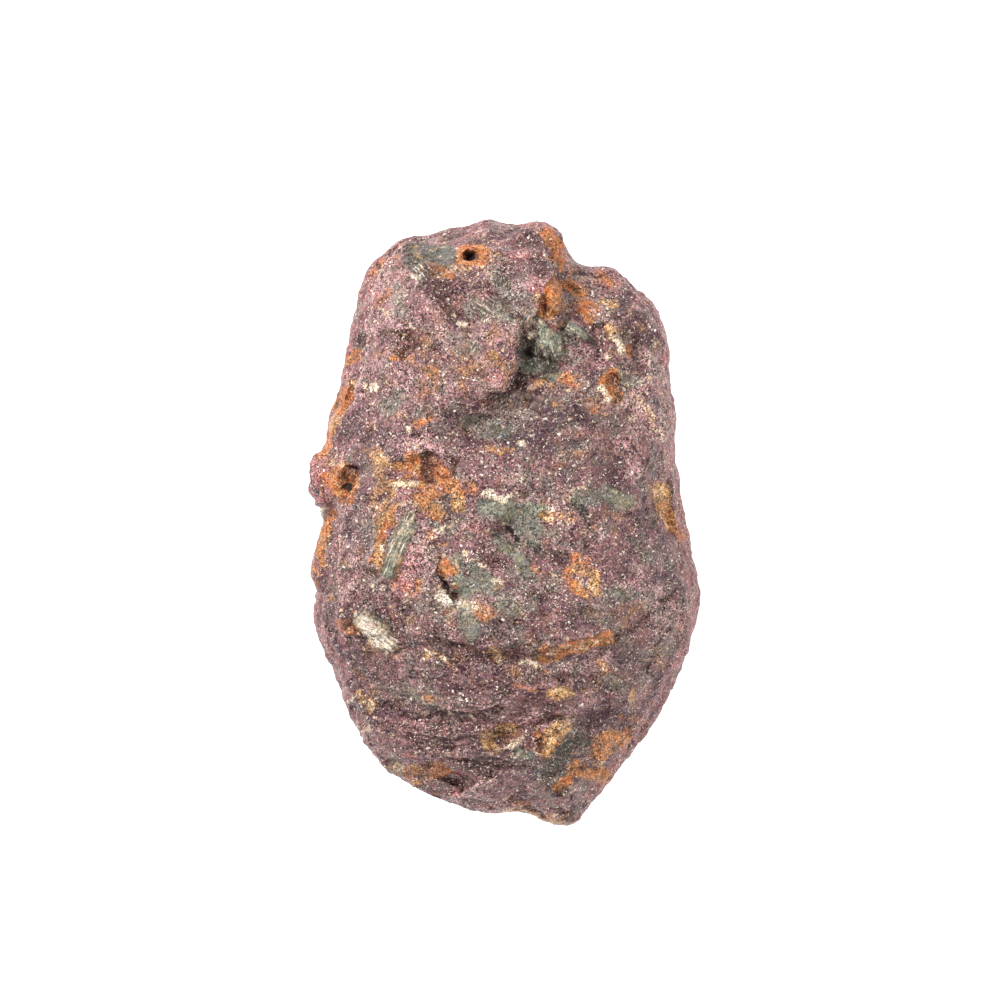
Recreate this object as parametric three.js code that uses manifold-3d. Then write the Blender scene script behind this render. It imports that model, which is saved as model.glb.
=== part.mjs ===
// Rough ruby: one broken lump of granular corundum, lying on the flat parting face of its underside.
// The upper side shows a raised parting plate, two low ledges, iron-stained pits and a few foreign crystals
// that grew into the stone. Everything is one solid. Millimetres, +Z up, +Y along the length of the stone.
import * as THREE from "three";
import { ImprovedNoise } from "three/addons/math/ImprovedNoise.js";
import { mergeVertices } from "three/addons/utils/BufferGeometryUtils.js";
import Module from "manifold-3d";

const wasm = await Module();
wasm.setup();

// Driving sizes. Levels are measured from the widest level of the stone.
const CROWN_HEIGHT = 7.0; // widest level to the top of the crown
const KEEL_DEPTH = 6.4; // widest level to the lowest point of the unbroken underside
const REST_DEPTH = 5.3; // widest level to the parting face that the stone lies on
const CROWN_FULLNESS = 2.5; // 2 is an ellipse, more is boxier
const KEEL_FULLNESS = 2.3;
const LUMP_HEIGHT = 0.5; // the broad swellings
const LUMP_SPACING = 3.6;
const KNOB_HEIGHT = 0.55; // the grains between the creases on top of them
const KNOB_SPACING = [2.3, 1.6, 1.5]; // they are drawn out across the stone
const FLANK_GROOVE = 0.4; // how far the layers of the flank are worn back
const LAYER_SPACING = 2.1; // thickness of those layers
const MESH_DETAIL = 17; // the skin has 20 * (detail + 1)^2 triangles
const SLIVER = 0.03; // triangles thinner than this, which the joins leave, are folded away
const CROWN_SHARE = 0.14; // radians by which the mesh is crowded towards the upper side

// The outline at the widest level, clockwise from the crown end.
const OUTLINE = [
  // crown end: two low peaks, then the notch beside the shoulder
  [-1.15, 15.2], [-0.4, 15.1], [0.4, 14.85], [1.15, 14.95], [1.8, 15.15], [2.4, 14.85], [2.9, 14.4],
  [3.1, 13.6], [3.4, 13.1], [4.15, 12.85], [5.05, 12.75], [5.7, 12.5],
  // right shoulder and flank, down to the widest bulge
  [6.3, 11.95], [6.9, 11.35], [7.5, 10.7], [7.9, 10], [8.15, 9.1], [8.2, 8], [8.3, 6.5], [8.6, 5.4],
  [8.5, 4.4], [8.5, 3.1], [8.75, 2], [8.9, 0.5], [9.25, -0.8], [9.4, -2], [9.75, -3.2], [9.75, -4.2],
  // long slant to the pointed foot, and the lip beside it
  [9.45, -5.4], [9.1, -6.5], [8.55, -8], [7.85, -9.4], [6.95, -10.8], [6.05, -11.9], [5.15, -13.15],
  [4.35, -14.05], [3.85, -14.7], [3.05, -15.2], [2.25, -15.1], [1.35, -14.7], [0.15, -14.5],
  [-0.75, -14.6], [-1.55, -14.45], [-2.35, -14.1],
  // rounded lower left
  [-3.75, -13.7], [-5.05, -13], [-6.05, -12.3], [-6.95, -11.15], [-7.75, -9.85], [-8.2, -8.7],
  [-8.6, -7.45], [-9.15, -6.4], [-9.45, -5.6],
  // left flank: two flat bulges, a nick, the knob beside the round pit
  [-9.65, -4.2], [-9.4, -3.3], [-9.75, -2.75], [-9.75, -2], [-9.5, -1.1], [-9.15, -0.4], [-9.3, 0.85],
  [-9.75, 1.5], [-9.8, 2.2], [-9.55, 3.05],
  // straight upper left side, back to the crown end
  [-8.95, 3.9], [-8.95, 5.1], [-8.55, 6], [-8.2, 7.3], [-7.85, 9.2], [-7.45, 11.1], [-7.1, 12.4],
  [-6.6, 13.1], [-5.75, 13.75], [-4.75, 14.3], [-3.85, 14.35], [-2.75, 14.7], [-1.85, 14.8],
];

const noise = new ImprovedNoise();
const { clamp, smoothstep, lerp } = THREE.MathUtils;

// ---- The outline as a radius for each direction ----

const rimCurve = new THREE.CatmullRomCurve3(
  OUTLINE.map(([x, y]) => new THREE.Vector3(x, y, 0)),
  true,
  "centripetal",
);
const rimSamples = rimCurve
  .getPoints(900)
  .map((p) => ({ angle: Math.atan2(p.y, p.x), radius: Math.hypot(p.x, p.y) }))
  .sort((a, b) => a.angle - b.angle);

function rimRadius(angle) {
  const last = rimSamples.length - 1;
  let low = 0;
  let high = last;
  while (high - low > 1) {
    const middle = (low + high) >> 1;
    if (rimSamples[middle].angle > angle) high = middle;
    else low = middle;
  }
  const span = rimSamples[high].angle - rimSamples[low].angle;
  const share = clamp(span > 0 ? (angle - rimSamples[low].angle) / span : 0, 0, 1);
  return lerp(rimSamples[low].radius, rimSamples[high].radius, share);
}

// ---- Grains: rounded tops with creases between them ----

// A repeatable number from 0 to 1 for a cell of space.
function cellNumber(x, y, z, salt) {
  const wave = Math.sin(x * 127.1 + y * 311.7 + z * 74.7 + salt * 53.3) * 43758.5453;
  return wave - Math.floor(wave);
}

// From -0.5 in the creases to 0.5 on the tops.
function grain(x, y, z) {
  const cell = [Math.floor(x), Math.floor(y), Math.floor(z)];
  let nearest = 1;
  for (let i = 0; i < 27; i++) {
    const cx = cell[0] + (i % 3) - 1;
    const cy = cell[1] + (Math.floor(i / 3) % 3) - 1;
    const cz = cell[2] + Math.floor(i / 9) - 1;
    const dx = cx + cellNumber(cx, cy, cz, 1) - x;
    const dy = cy + cellNumber(cx, cy, cz, 2) - y;
    const dz = cz + cellNumber(cx, cy, cz, 3) - z;
    nearest = Math.min(nearest, dx * dx + dy * dy + dz * dz);
  }
  return 0.5 - nearest;
}

// ---- The skin: the plain lump before ledges, pits and crystals ----

const HALF_LENGTH = 15.2;
const HALF_WIDTH = 9.78;

// Where a direction of the unit sphere lands on the lump. raise(x, y, share) lifts the upper side;
// share is 0 on the crown and 1 at the widest level.
function skinPoint(direction, raise) {
  const tilt = Math.asin(clamp(direction.z, -1, 1));
  const latitude = tilt + CROWN_SHARE * Math.cos(tilt) ** 2;
  const up = latitude > 0;
  const fullness = up ? CROWN_FULLNESS : KEEL_FULLNESS;
  const share = Math.cos(latitude) ** (2 / fullness);
  const height = Math.abs(Math.sin(latitude)) ** (2 / fullness);
  const angle = Math.atan2(direction.y * HALF_LENGTH, direction.x * HALF_WIDTH);
  const rim = rimRadius(angle);
  const level = up ? CROWN_HEIGHT * height : -KEEL_DEPTH * height;
  const point = new THREE.Vector3(rim * share * Math.cos(angle), rim * share * Math.sin(angle), level);

  // Swellings and grains push the skin along its normal, but not at the widest level, which is the outline.
  const offRim = smoothstep(Math.abs(level), 0.2, 1.8);
  const layer = noise.noise(Math.cos(angle) * 1.4, Math.sin(angle) * 1.4, level / LAYER_SPACING);
  const swell = noise.noise(point.x / LUMP_SPACING, point.y / LUMP_SPACING, point.z / LUMP_SPACING);
  const knob = grain(...point.toArray().map((value, i) => value / KNOB_SPACING[i]));
  const push =
    LUMP_HEIGHT * swell + KNOB_HEIGHT * knob - FLANK_GROOVE * smoothstep(share, 0.4, 0.8) * (0.5 + layer);
  const normal = new THREE.Vector3(
    point.x / HALF_WIDTH ** 2,
    point.y / HALF_LENGTH ** 2,
    point.z / CROWN_HEIGHT ** 2,
  ).normalize();
  point.addScaledVector(normal, offRim * push);

  const reach = Math.hypot(point.x, point.y);
  const limit = rimRadius(Math.atan2(point.y, point.x));
  if (reach > limit) point.set(point.x * (limit / reach), point.y * (limit / reach), point.z);
  if (up) point.z += smoothstep(height, 0, 0.45) * raise(point.x, point.y, share);
  return point;
}

function solidOf(geometry) {
  const bare = geometry.clone();
  bare.deleteAttribute("normal");
  bare.deleteAttribute("uv");
  const merged = mergeVertices(bare, 1e-4);
  return new wasm.Manifold(
    new wasm.Mesh({
      numProp: 3,
      vertProperties: new Float32Array(merged.attributes.position.array),
      triVerts: new Uint32Array(merged.index.array),
    }),
  );
}

function lump(raise = () => 0) {
  const sphere = new THREE.IcosahedronGeometry(1, MESH_DETAIL);
  const position = sphere.attributes.position;
  const direction = new THREE.Vector3();
  for (let i = 0; i < position.count; i++) {
    direction.fromBufferAttribute(position, i).normalize();
    const { x, y, z } = skinPoint(direction, raise);
    position.setXYZ(i, x, y, z);
  }
  return solidOf(sphere);
}

// ---- Ledges: the same lump lifted a little, and kept only inside an outline ----

const LEDGE_SINK = 0.08; // a lifted skin sinks this far under the plain one where its ledge runs out

function column(outline) {
  const shape = new THREE.Shape(outline.map(([x, y]) => new THREE.Vector2(x, y)));
  const prism = new THREE.ExtrudeGeometry(shape, { depth: 2 * CROWN_HEIGHT, bevelEnabled: false });
  return solidOf(prism.translate(0, 0, 0.2));
}

const ledges = [
  {
    // The parting plate of the upper left, which overhangs the hollow of the green crystal. It is thickest
    // at its right edge and dies out at the lower left and on the crown end.
    outline: [
      [-6.1, 12.5], [-6.7, 11.1], [-6.9, 9.3], [-7.3, 8.4], [-7.5, 7], [-7.7, 5.8], [-6.6, 4.6],
      [-4.8, 4], [-2.5, 4.6], [-1.4, 5.8], [-0.7, 6.2], [0.2, 6.3], [0.5, 7.3], [0.55, 8.2], [1, 9.2],
      [1.5, 10.3], [2.1, 11.1], [2.4, 12], [2.3, 12.7], [1.7, 13.5], [0.6, 16], [-2.6, 16], [-4.2, 16],
      [-5.6, 13.4],
    ],
    raise: (x, y, share) =>
      lerp(0.45, 1, smoothstep(x, -7, -3)) * smoothstep(y + 0.3 * x, 4.4, 6.2) *
      (1 - smoothstep(share, 0.86, 0.96)) - LEDGE_SINK,
  },
  {
    // The long low ledge across the middle, highest just above its lower edge.
    outline: [
      [-11, -6.6], [-7.6, -6.5], [-5.6, -6.4], [-4, -5.7], [-2.6, -5.9], [-1.3, -6.5], [0, -6.4],
      [1.8, -6.5], [3, -6.1], [4.3, -5.7], [5.4, -5.5], [6.8, -6.3], [11, -7], [11, 2], [-11, 2],
    ],
    raise: (x, y) =>
      0.75 * smoothstep(-y, 0.5, 5.6) * smoothstep(x, -6, -3.4) * (1 - smoothstep(x, 4.6, 7.2)) - LEDGE_SINK,
  },
  {
    // A second, shorter ledge below it.
    outline: [
      [-5.6, -9.9], [-3.6, -9.6], [-2, -9.35], [-0.4, -9.2], [1, -8.7], [2.6, -8.9], [4, -8.6],
      [6, -8.2], [6, -5], [-5.6, -5],
    ],
    raise: (x, y) =>
      0.6 * smoothstep(-y, 6.8, 8.6) * smoothstep(x, -5.2, -3.2) * (1 - smoothstep(x, 2.4, 4.8)) - LEDGE_SINK,
  },
  {
    // The lip over the pointed foot.
    outline: [
      [-2.5, -14.6], [-2.4, -13.7], [-1.9, -13.1], [-1.2, -12.9], [-0.2, -12.5], [0.9, -12.3],
      [1.9, -13.1], [3, -13.6], [4.2, -13.9], [5, -16], [-2.6, -16],
    ],
    raise: (x, y, share) => 0.6 * (1 - smoothstep(share, 0.9, 0.98)) - LEDGE_SINK,
  },
  {
    // The upper layer of the left flank, which ends in a ridge along that side.
    outline: [
      [-8.5, 2], [-8.3, 0.4], [-8.45, -1.6], [-8.4, -3.6], [-8.2, -5.4], [-7.6, -8], [-4, -8], [-4, 3.4],
      [-7.6, 3.4],
    ],
    raise: (x, y) => 0.55 * (1 - smoothstep(x, -7.6, -5)) * smoothstep(-y, -3, -1) *
      (1 - smoothstep(-y, 5.5, 7.6)) - LEDGE_SINK,
  },
  {
    // The upright ridge inside the right flank.
    outline: [[3.6, 6.4], [6.9, 6.2], [6.95, 4], [7.1, 2], [7.4, 0.2], [7.2, -1], [3.6, -1]],
    raise: (x, y) => 0.55 * smoothstep(x, 5, 6.9) * smoothstep(-y, -6, -4.4) *
      (1 - smoothstep(-y, -1.4, 0.6)) - LEDGE_SINK,
  },
];

// ---- Pits and crystals: small faceted bodies set at the surface ----

const DOWN = new THREE.Vector3(0, 0, -1);

// The height of a solid's upper surface at x, y.
function surfaceFinder(solid) {
  const mesh = new THREE.Mesh(geometryOf(solid), new THREE.MeshBasicMaterial());
  const ray = new THREE.Raycaster();
  return (x, y) => {
    ray.set(new THREE.Vector3(x, y, 3 * CROWN_HEIGHT), DOWN);
    return ray.intersectObject(mesh)[0].point.z;
  };
}

function geometryOf(solid) {
  const mesh = solid.getMesh();
  return new THREE.BufferGeometry()
    .setAttribute("position", new THREE.BufferAttribute(new Float32Array(mesh.vertProperties), 3))
    .setIndex(new THREE.BufferAttribute(new Uint32Array(mesh.triVerts), 1));
}

// How square each kind of body is: 2 is a ball, and a high number is a box with worn corners.
const bodies = { block: 9, blade: 4, knob: 2.2 };
const UNEVENNESS = 0.16; // how far a body's corners stray from the plain shape, as a share of its size

const FINE_BODY = 1.6; // a body longer than this has smaller facets

function chunk(squareness, size, seed) {
  const geometry = new THREE.IcosahedronGeometry(1, Math.max(...size) > FINE_BODY ? 1 : 0);
  const position = geometry.attributes.position;
  const point = new THREE.Vector3();
  for (let i = 0; i < position.count; i++) {
    point.fromBufferAttribute(position, i).normalize();
    const powers = point.toArray().map((value) => Math.abs(value) ** squareness);
    const reach = (powers[0] + powers[1] + powers[2]) ** (-1 / squareness);
    const stray = noise.noise(point.x * 1.9 + seed, point.y * 1.9 - seed, point.z * 1.9 + 0.37);
    point.multiplyScalar(0.5 * reach * (1 + 2 * UNEVENNESS * stray));
    position.setXYZ(i, point.x, point.y, point.z);
  }
  return geometry.scale(...size);
}

// size is [width, length, depth] and turn is in degrees, anticlockwise from above.
// sink is how far the body's middle lies under the surface, and lean tips its far end up.
function setBody({ body, at: [x, y], size, turn = 0, sink = 0, lean = 0, roll = 0 }, surface) {
  const geometry = chunk(bodies[body], size, 3.1 * x + 1.7 * y);
  geometry.rotateX(THREE.MathUtils.degToRad(lean));
  geometry.rotateY(THREE.MathUtils.degToRad(roll));
  geometry.rotateZ(THREE.MathUtils.degToRad(turn));
  return solidOf(geometry.translate(x, y, surface(x, y) - sink));
}

const pits = [
  { name: "square pit", body: "block", at: [-1.65, 13.25], size: [0.95, 0.7, 2.4], turn: 4 },
  { name: "bowl round it", body: "knob", at: [-1.6, 13.2], size: [2, 1.5, 1], sink: 0.05 },
  { name: "round pit", body: "knob", at: [-7.78, 2.3], size: [1.05, 1.05, 2.6], sink: 0.2, roll: -25 },
  { name: "its worn rim", body: "knob", at: [-8.25, 1.75], size: [1.8, 1.6, 1.2], roll: -30, turn: 40 },
  { name: "stained cavity", body: "knob", at: [-3.85, 2.8], size: [1.2, 1.4, 1.5], turn: 20 },
  { name: "its right lobe", body: "knob", at: [-3, 2.55], size: [1.4, 1.1, 0.9] },
  { name: "its left trough", body: "blade", at: [-5.1, 2.5], size: [2.8, 1, 0.9], turn: 4 },
  { name: "hollow of the green crystal", body: "knob", at: [1.9, 8.7], size: [3.1, 3.1, 2.2], turn: 20 },
  { name: "right pit", body: "block", at: [5.4, 6.6], size: [0.7, 1.3, 1.7], turn: 22, roll: 10 },
  { name: "hollow beside the pale slab", body: "knob", at: [5.95, 9.1], size: [1, 2.2, 1.2], turn: 24 },
  { name: "rusty pit", body: "block", at: [-2.9, -2.35], size: [0.7, 1.1, 1.2], turn: 24 },
  { name: "hollow of the white crystal", body: "knob", at: [-3.05, -3.7], size: [1.8, 1.6, 0.9] },
  {
    name: "hollow of the striated crystal", body: "knob", at: [-6.4, -5.5],
    size: [2.4, 2.8, 1.3], turn: 40,
  },
  { name: "pale hollow", body: "knob", at: [-0.1, -10.8], size: [2.3, 1.7, 1.2] },
  { name: "hollow of the tan block", body: "knob", at: [2, -10.6], size: [2.3, 2, 1.2] },
  { name: "small pit by the foot", body: "knob", at: [2.7, -13.3], size: [0.9, 0.7, 0.8] },
  { name: "brown hollow", body: "block", at: [-4.9, 8.9], size: [1.3, 1.5, 0.8], turn: -20, lean: 8 },
  { name: "dark cleft in the green patch", body: "blade", at: [0.3, -0.6], size: [1.2, 1, 1.2], turn: 30 },
  { name: "hollow of the green patch", body: "knob", at: [0.9, -0.2], size: [3.4, 2, 0.8], turn: 10 },
  { name: "upper nick of the green patch", body: "knob", at: [-1.2, 4.6], size: [1.8, 1.3, 0.8] },
  { name: "nick under the ridge", body: "block", at: [2.9, -7.75], size: [0.8, 0.5, 0.8] },
  { name: "lower left hollow", body: "block", at: [-7.1, -9.15], size: [1.2, 1, 0.9], turn: 30 },
  { name: "dark hollow by the lip", body: "knob", at: [-2.85, -13.05], size: [1.6, 1.4, 1.1], turn: 30 },
  {
    name: "stained groove of the right flank", body: "blade", at: [8.2, 0.8],
    size: [0.8, 2.6, 1.2], turn: 6,
  },
  { name: "stained nick of the left flank", body: "knob", at: [-7.9, 6.2], size: [0.8, 1.3, 1], turn: -15 },
  {
    name: "cleft beside the long crystal", body: "blade", at: [-6.2, -1.3],
    size: [0.4, 2.8, 0.9], turn: -20,
  },
];

const crystals = [
  {
    name: "green crystal", body: "block", at: [2.05, 8.85],
    size: [1.5, 2.2, 1.9], turn: 24, lean: -8, roll: 16, sink: 0.35,
  },
  { name: "green splinter", body: "blade", at: [3.7, 9.35], size: [0.8, 1.8, 0.8], turn: 44, sink: 0.1 },
  {
    name: "orange slab", body: "block", at: [2.5, 11.1],
    size: [0.8, 1.7, 0.8], turn: -8, roll: 14, sink: 0.2,
  },
  { name: "pale slab", body: "block", at: [5.35, 9.3], size: [0.75, 1.8, 0.8], turn: 22, sink: 0.15 },
  { name: "cream slab", body: "block", at: [4.95, 6.35], size: [0.5, 1.3, 0.7], turn: 30, sink: 0.15 },
  {
    name: "long pale crystal", body: "block", at: [-5.45, -1.5],
    size: [1, 3.4, 0.8], turn: -24, sink: 0.2,
  },
  {
    name: "striated crystal", body: "block", at: [-6.3, -5.6],
    size: [1.4, 2.2, 1.1], turn: 42, sink: 0.42, lean: -6,
  },
  { name: "white crystal", body: "block", at: [-2.9, -3.7], size: [0.6, 0.8, 0.8], turn: 20, sink: 0.2 },
  { name: "pale grey block", body: "block", at: [0.3, -11], size: [1.5, 0.8, 0.9], turn: 20, sink: 0.35 },
  {
    name: "tan block", body: "block", at: [2.25, -10.45],
    size: [1.3, 1.5, 1.1], turn: -28, sink: 0.42, roll: 10,
  },
  { name: "pink lobe", body: "knob", at: [-4.8, -3.2], size: [1.8, 2.4, 1.2], turn: -20, sink: 0.3 },
  { name: "knob of the left flank", body: "knob", at: [-8.9, 2.15], size: [2, 2.8, 2.6], sink: 1.1 },
  { name: "rust bulge of the left flank", body: "knob", at: [-9, -2.2], size: [1.5, 2.8, 2.6], sink: 1.2 },
  { name: "shoulder knob", body: "knob", at: [5.7, 9.5], size: [3.8, 4.8, 2.6], turn: 20, sink: 1.05 },
  { name: "right knob", body: "knob", at: [6.5, 7.5], size: [2.8, 3.2, 2.2], sink: 0.95 },
  { name: "crown knob", body: "knob", at: [1.7, 13.6], size: [3, 2.6, 2.6], sink: 1.05 },
];

// ---- The broken underside: planes that the keel ends in ----

const BLOCK = 60; // a cutting block, larger than the stone
const breaks = [
  { depth: REST_DEPTH, lean: 0, roll: 0 }, // the parting face that it lies on
  { depth: 7.1, lean: 20, roll: -18 },
  { depth: 7, lean: -24, roll: 10 },
  { depth: 7.9, lean: 4, roll: 38 },
];

function breakBlock({ depth, lean, roll }) {
  const block = new THREE.BoxGeometry(BLOCK, BLOCK, BLOCK).translate(0, 0, -depth - BLOCK / 2);
  block.rotateX(THREE.MathUtils.degToRad(lean));
  block.rotateY(THREE.MathUtils.degToRad(roll));
  return solidOf(block);
}

// ---- The whole stone ----

// The one outer shell of a solid, without any bubble that a crystal closed off inside a pit.
function outerSkin(solid) {
  const shells = solid.decompose();
  return shells.reduce((best, shell) => (shell.volume() > best.volume() ? shell : best));
}

let stone = lump();
for (const { outline, raise } of ledges) {
  stone = stone.add(lump(raise).intersect(column(outline)));
}
for (const plane of breaks) stone = stone.subtract(breakBlock(plane));

const surface = surfaceFinder(stone);
for (const pit of pits) stone = stone.subtract(setBody(pit, surface));
for (const crystal of crystals) stone = stone.add(setBody(crystal, surface));
stone = outerSkin(stone.asOriginal().simplify(SLIVER));

// Set the middle of its box over the origin, and the parting face on the ground plane.
const geometry = geometryOf(stone);
geometry.computeBoundingBox();
const middle = geometry.boundingBox.getCenter(new THREE.Vector3());
geometry.translate(-middle.x, -middle.y, -geometry.boundingBox.min.z);
geometry.computeVertexNormals();

const group = new THREE.Group();
const ruby = new THREE.Mesh(
  geometry,
  new THREE.MeshStandardMaterial({ color: 0x876a70, roughness: 0.62, metalness: 0 }),
);
ruby.name = "ruby";
group.add(ruby);

export default group;
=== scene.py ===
# %% [markdown]
# # A rough ruby
# Rough ruby is corundum, the same mineral as sapphire, before anyone cuts it. This piece is a broken lump
# about 30 mm long. It is grainy like coarse sugar, grey-purple to pink, and it carries the minerals that
# grew beside it: green mica and zoisite, cream feldspar, and rust that water left in every crack.
# The whole stone is one piece, so the lesson makes one mesh and one rich material. The solid from the
# frame gives the true size and the main forms, and everything here is laid on top of it.

# %% Load the frame
import math
import random

import bmesh
import bpy
import numpy as np
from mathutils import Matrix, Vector, noise


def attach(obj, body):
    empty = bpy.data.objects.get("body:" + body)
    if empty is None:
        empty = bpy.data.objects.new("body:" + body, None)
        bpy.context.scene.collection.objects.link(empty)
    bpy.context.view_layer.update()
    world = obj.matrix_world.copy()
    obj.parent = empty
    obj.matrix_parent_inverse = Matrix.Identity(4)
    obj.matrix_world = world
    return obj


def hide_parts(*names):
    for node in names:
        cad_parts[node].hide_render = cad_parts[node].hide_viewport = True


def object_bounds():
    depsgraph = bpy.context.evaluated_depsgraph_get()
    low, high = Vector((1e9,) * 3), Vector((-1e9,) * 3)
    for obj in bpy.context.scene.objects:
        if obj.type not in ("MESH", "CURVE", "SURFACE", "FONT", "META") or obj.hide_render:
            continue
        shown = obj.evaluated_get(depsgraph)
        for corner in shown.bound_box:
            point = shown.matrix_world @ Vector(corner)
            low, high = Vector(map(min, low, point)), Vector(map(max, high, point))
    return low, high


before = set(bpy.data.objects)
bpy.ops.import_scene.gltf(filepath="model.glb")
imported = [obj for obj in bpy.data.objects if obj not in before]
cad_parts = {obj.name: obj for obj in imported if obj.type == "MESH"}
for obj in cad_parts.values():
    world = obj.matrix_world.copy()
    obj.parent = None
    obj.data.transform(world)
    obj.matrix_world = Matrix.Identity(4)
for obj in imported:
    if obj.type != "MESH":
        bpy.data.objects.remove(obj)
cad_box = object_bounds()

MM = 0.001  # one millimetre, in metres


def in_millimetres(box):
    """The two corners of a box, in round millimetres."""
    return [[round(value / MM, 2) for value in corner] for corner in box]


print("the frame's box, in millimetres:", in_millimetres(cad_box))

# %% [markdown]
# ## The bare lump
# The solid that comes with the frame is made of loose flat triangles, about half a millimetre wide. A copy
# of it is merged first, so that neighbouring triangles share their corners. A voxel remesh then wraps the
# copy in even little squares. They are all the same size wherever they lie, so the fine relief comes out
# equally sharp on the top, the flanks and the underside. A little smoothing takes away the flat facets.

# %% Copy, merge and remesh
VOXEL = 0.15 * MM
SMOOTHING_ROUNDS = 2
MERGE_DISTANCE = 0.001 * MM


def add_object(name, data):
    """A new object in the scene, at the origin, for a mesh, a lamp or a camera."""
    made = bpy.data.objects.new(name, data)
    bpy.context.scene.collection.objects.link(made)
    return made


def merged_copy(node_name, name):
    """A new object with a copy of a frame node's mesh, its loose triangles merged."""
    shape = bmesh.new()
    shape.from_mesh(bpy.data.objects[node_name].data)
    bmesh.ops.remove_doubles(shape, verts=shape.verts, dist=MERGE_DISTANCE)
    bmesh.ops.recalc_face_normals(shape, faces=shape.faces)
    mesh = bpy.data.meshes.new(name)
    shape.to_mesh(mesh)
    shape.free()
    return add_object(name, mesh)


def apply_modifiers(piece):
    """Bake the modifiers of a piece into its mesh."""
    bpy.context.view_layer.update()
    evaluated = piece.evaluated_get(bpy.context.evaluated_depsgraph_get())
    finished = bpy.data.meshes.new_from_object(evaluated)
    piece.modifiers.clear()
    piece.data = finished


stone = merged_copy("ruby", "ruby_stone")
wrap = stone.modifiers.new("wrap", "REMESH")
wrap.mode = "VOXEL"
wrap.voxel_size = VOXEL
soften = stone.modifiers.new("soften", "SMOOTH")
soften.factor = 0.5
soften.iterations = SMOOTHING_ROUNDS
apply_modifiers(stone)
stone.data.shade_smooth()
print("the lump has", len(stone.data.vertices), "points and", len(stone.data.polygons), "faces")

# %% [markdown]
# ## Looking at the points
# All the relief and all the colours are worked out for each point of the mesh, in millimetres. X runs to
# the right, Y runs up the stone from its pointed foot to its blunt crown, and Z is the height above the
# floor. The points are kept as one array, so one line of arithmetic treats every point at once.

# %% Reading points, and two measures
WIDEST_LEVEL = 5.3  # mm above the floor, where the outline is widest


def read_points(mesh):
    """The points and the outward directions of a mesh: millimetres and unit vectors, one row each."""
    count = len(mesh.vertices)
    points = np.empty(count * 3)
    normals = np.empty(count * 3)
    mesh.vertices.foreach_get("co", points)
    mesh.vertex_normals.foreach_get("vector", normals)
    return points.reshape(-1, 3) / MM, normals.reshape(-1, 3)


def ramp(values, low, high):
    """0 below low, 1 above high, and a soft curve between them."""
    share = np.clip((values - low) / (high - low), 0, 1)
    return share * share * (3 - 2 * share)


def line_distance(places, line):
    """How far each place is from a line of points, in millimetres, and its side: 1 is left, -1 is right."""
    nearest = np.full(len(places), np.inf)
    side = np.ones(len(places))
    corners = np.array(line if len(line) > 1 else line * 2)
    for start, end in zip(corners[:-1], corners[1:]):
        along = end - start
        offset = places - start
        share = np.clip((offset @ along) / max(along @ along, 1e-9), 0, 1)
        distance = np.hypot(*(offset - share[:, None] * along).T)
        closer = distance < nearest
        nearest = np.where(closer, distance, nearest)
        side = np.where(closer, np.sign(along[0] * offset[:, 1] - along[1] * offset[:, 0]), side)
    return nearest, side


points, normals = read_points(stone.data)
print("the stone is", np.ptp(points, axis=0).round(1), "mm wide, long and high")

# %% [markdown]
# ## Worn places
# Some ledges fade out, and some hollows are washed smooth. A Smooth modifier does that, held to those
# places by a vertex group: the points near a few lines are in the group, and the rest are left alone. It
# comes before the grain, so a worn ledge is soft in form and still gritty to the touch.

# %% Calm the worn places
CALMED = [
    # line and half width, in mm: the far ends of two ledges, and the hollow by the lip
    ([(5.6, -5.6), (7.2, -4.6), (9.4, -3.1)], 0.8),
    ([(6.9, -8.0), (7.6, -6.8), (8.5, -5.0)], 0.7),
    ([(-2.85, -13.05)], 0.9),
    # the first ledge, which is a worn step
    ([(-4.6, -5.2), (-3.4, -5.95), (-2.0, -6.2), (-0.85, -6.4), (0.4, -6.4), (2.2, -6.7)], 0.6),
]
CALMING_ROUNDS = 40
LEAST_CALM = 0.02  # less than this isn't worth a place in the group
calm = np.zeros(len(points))
for line, half_width in CALMED:
    distance, _ = line_distance(points[:, :2], line)
    calm = np.maximum(calm, 1 - ramp(distance, half_width * 0.5, half_width))
calm *= ramp(points[:, 2], WIDEST_LEVEL - 0.6, WIDEST_LEVEL + 0.6)
group = stone.vertex_groups.new(name="calm")
for index in np.flatnonzero(calm > LEAST_CALM):
    group.add([int(index)], float(calm[index]), "REPLACE")
ease = stone.modifiers.new("ease", "SMOOTH")
ease.factor = 0.5
ease.iterations = CALMING_ROUNDS
ease.vertex_group = group.name
apply_modifiers(stone)
stone.vertex_groups.clear()
print("points made calmer:", int((calm > 0.5).sum()))

# %% The points to work on
points, normals = read_points(stone.data)
x, y, z = points.T
UPPER_BAND = (WIDEST_LEVEL - 2.2, WIDEST_LEVEL - 0.6)  # mm, where the hidden side gives way to the upper one
upper = ramp(z, *UPPER_BAND)
print("points on the upper side:", int((upper > 0.5).sum()))

# %% [markdown]
# ## Noise on the points
# Rock never repeats, so its forms come from noise. Cloud noise gives soft swellings. Cell noise cuts space
# into cells, each round one random seed, which is just what a mass of grains looks like. Both are read at
# the point's own place in space, so the pattern runs on round the corners without a seam. A coarse and a
# fine set of clouds are kept as warps, which will nudge places aside wherever a form is too regular.

# %% Cloud noise and cell noise


def clouds(spacing, seed, stretch=(1, 1, 1), where=points):
    """Cloud noise from -1 to 1. spacing is the size of a swelling in millimetres."""
    scaled = where / (np.array(stretch) * spacing) + seed * 17.3
    return np.array([noise.noise(Vector(place)) for place in scaled])


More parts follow.
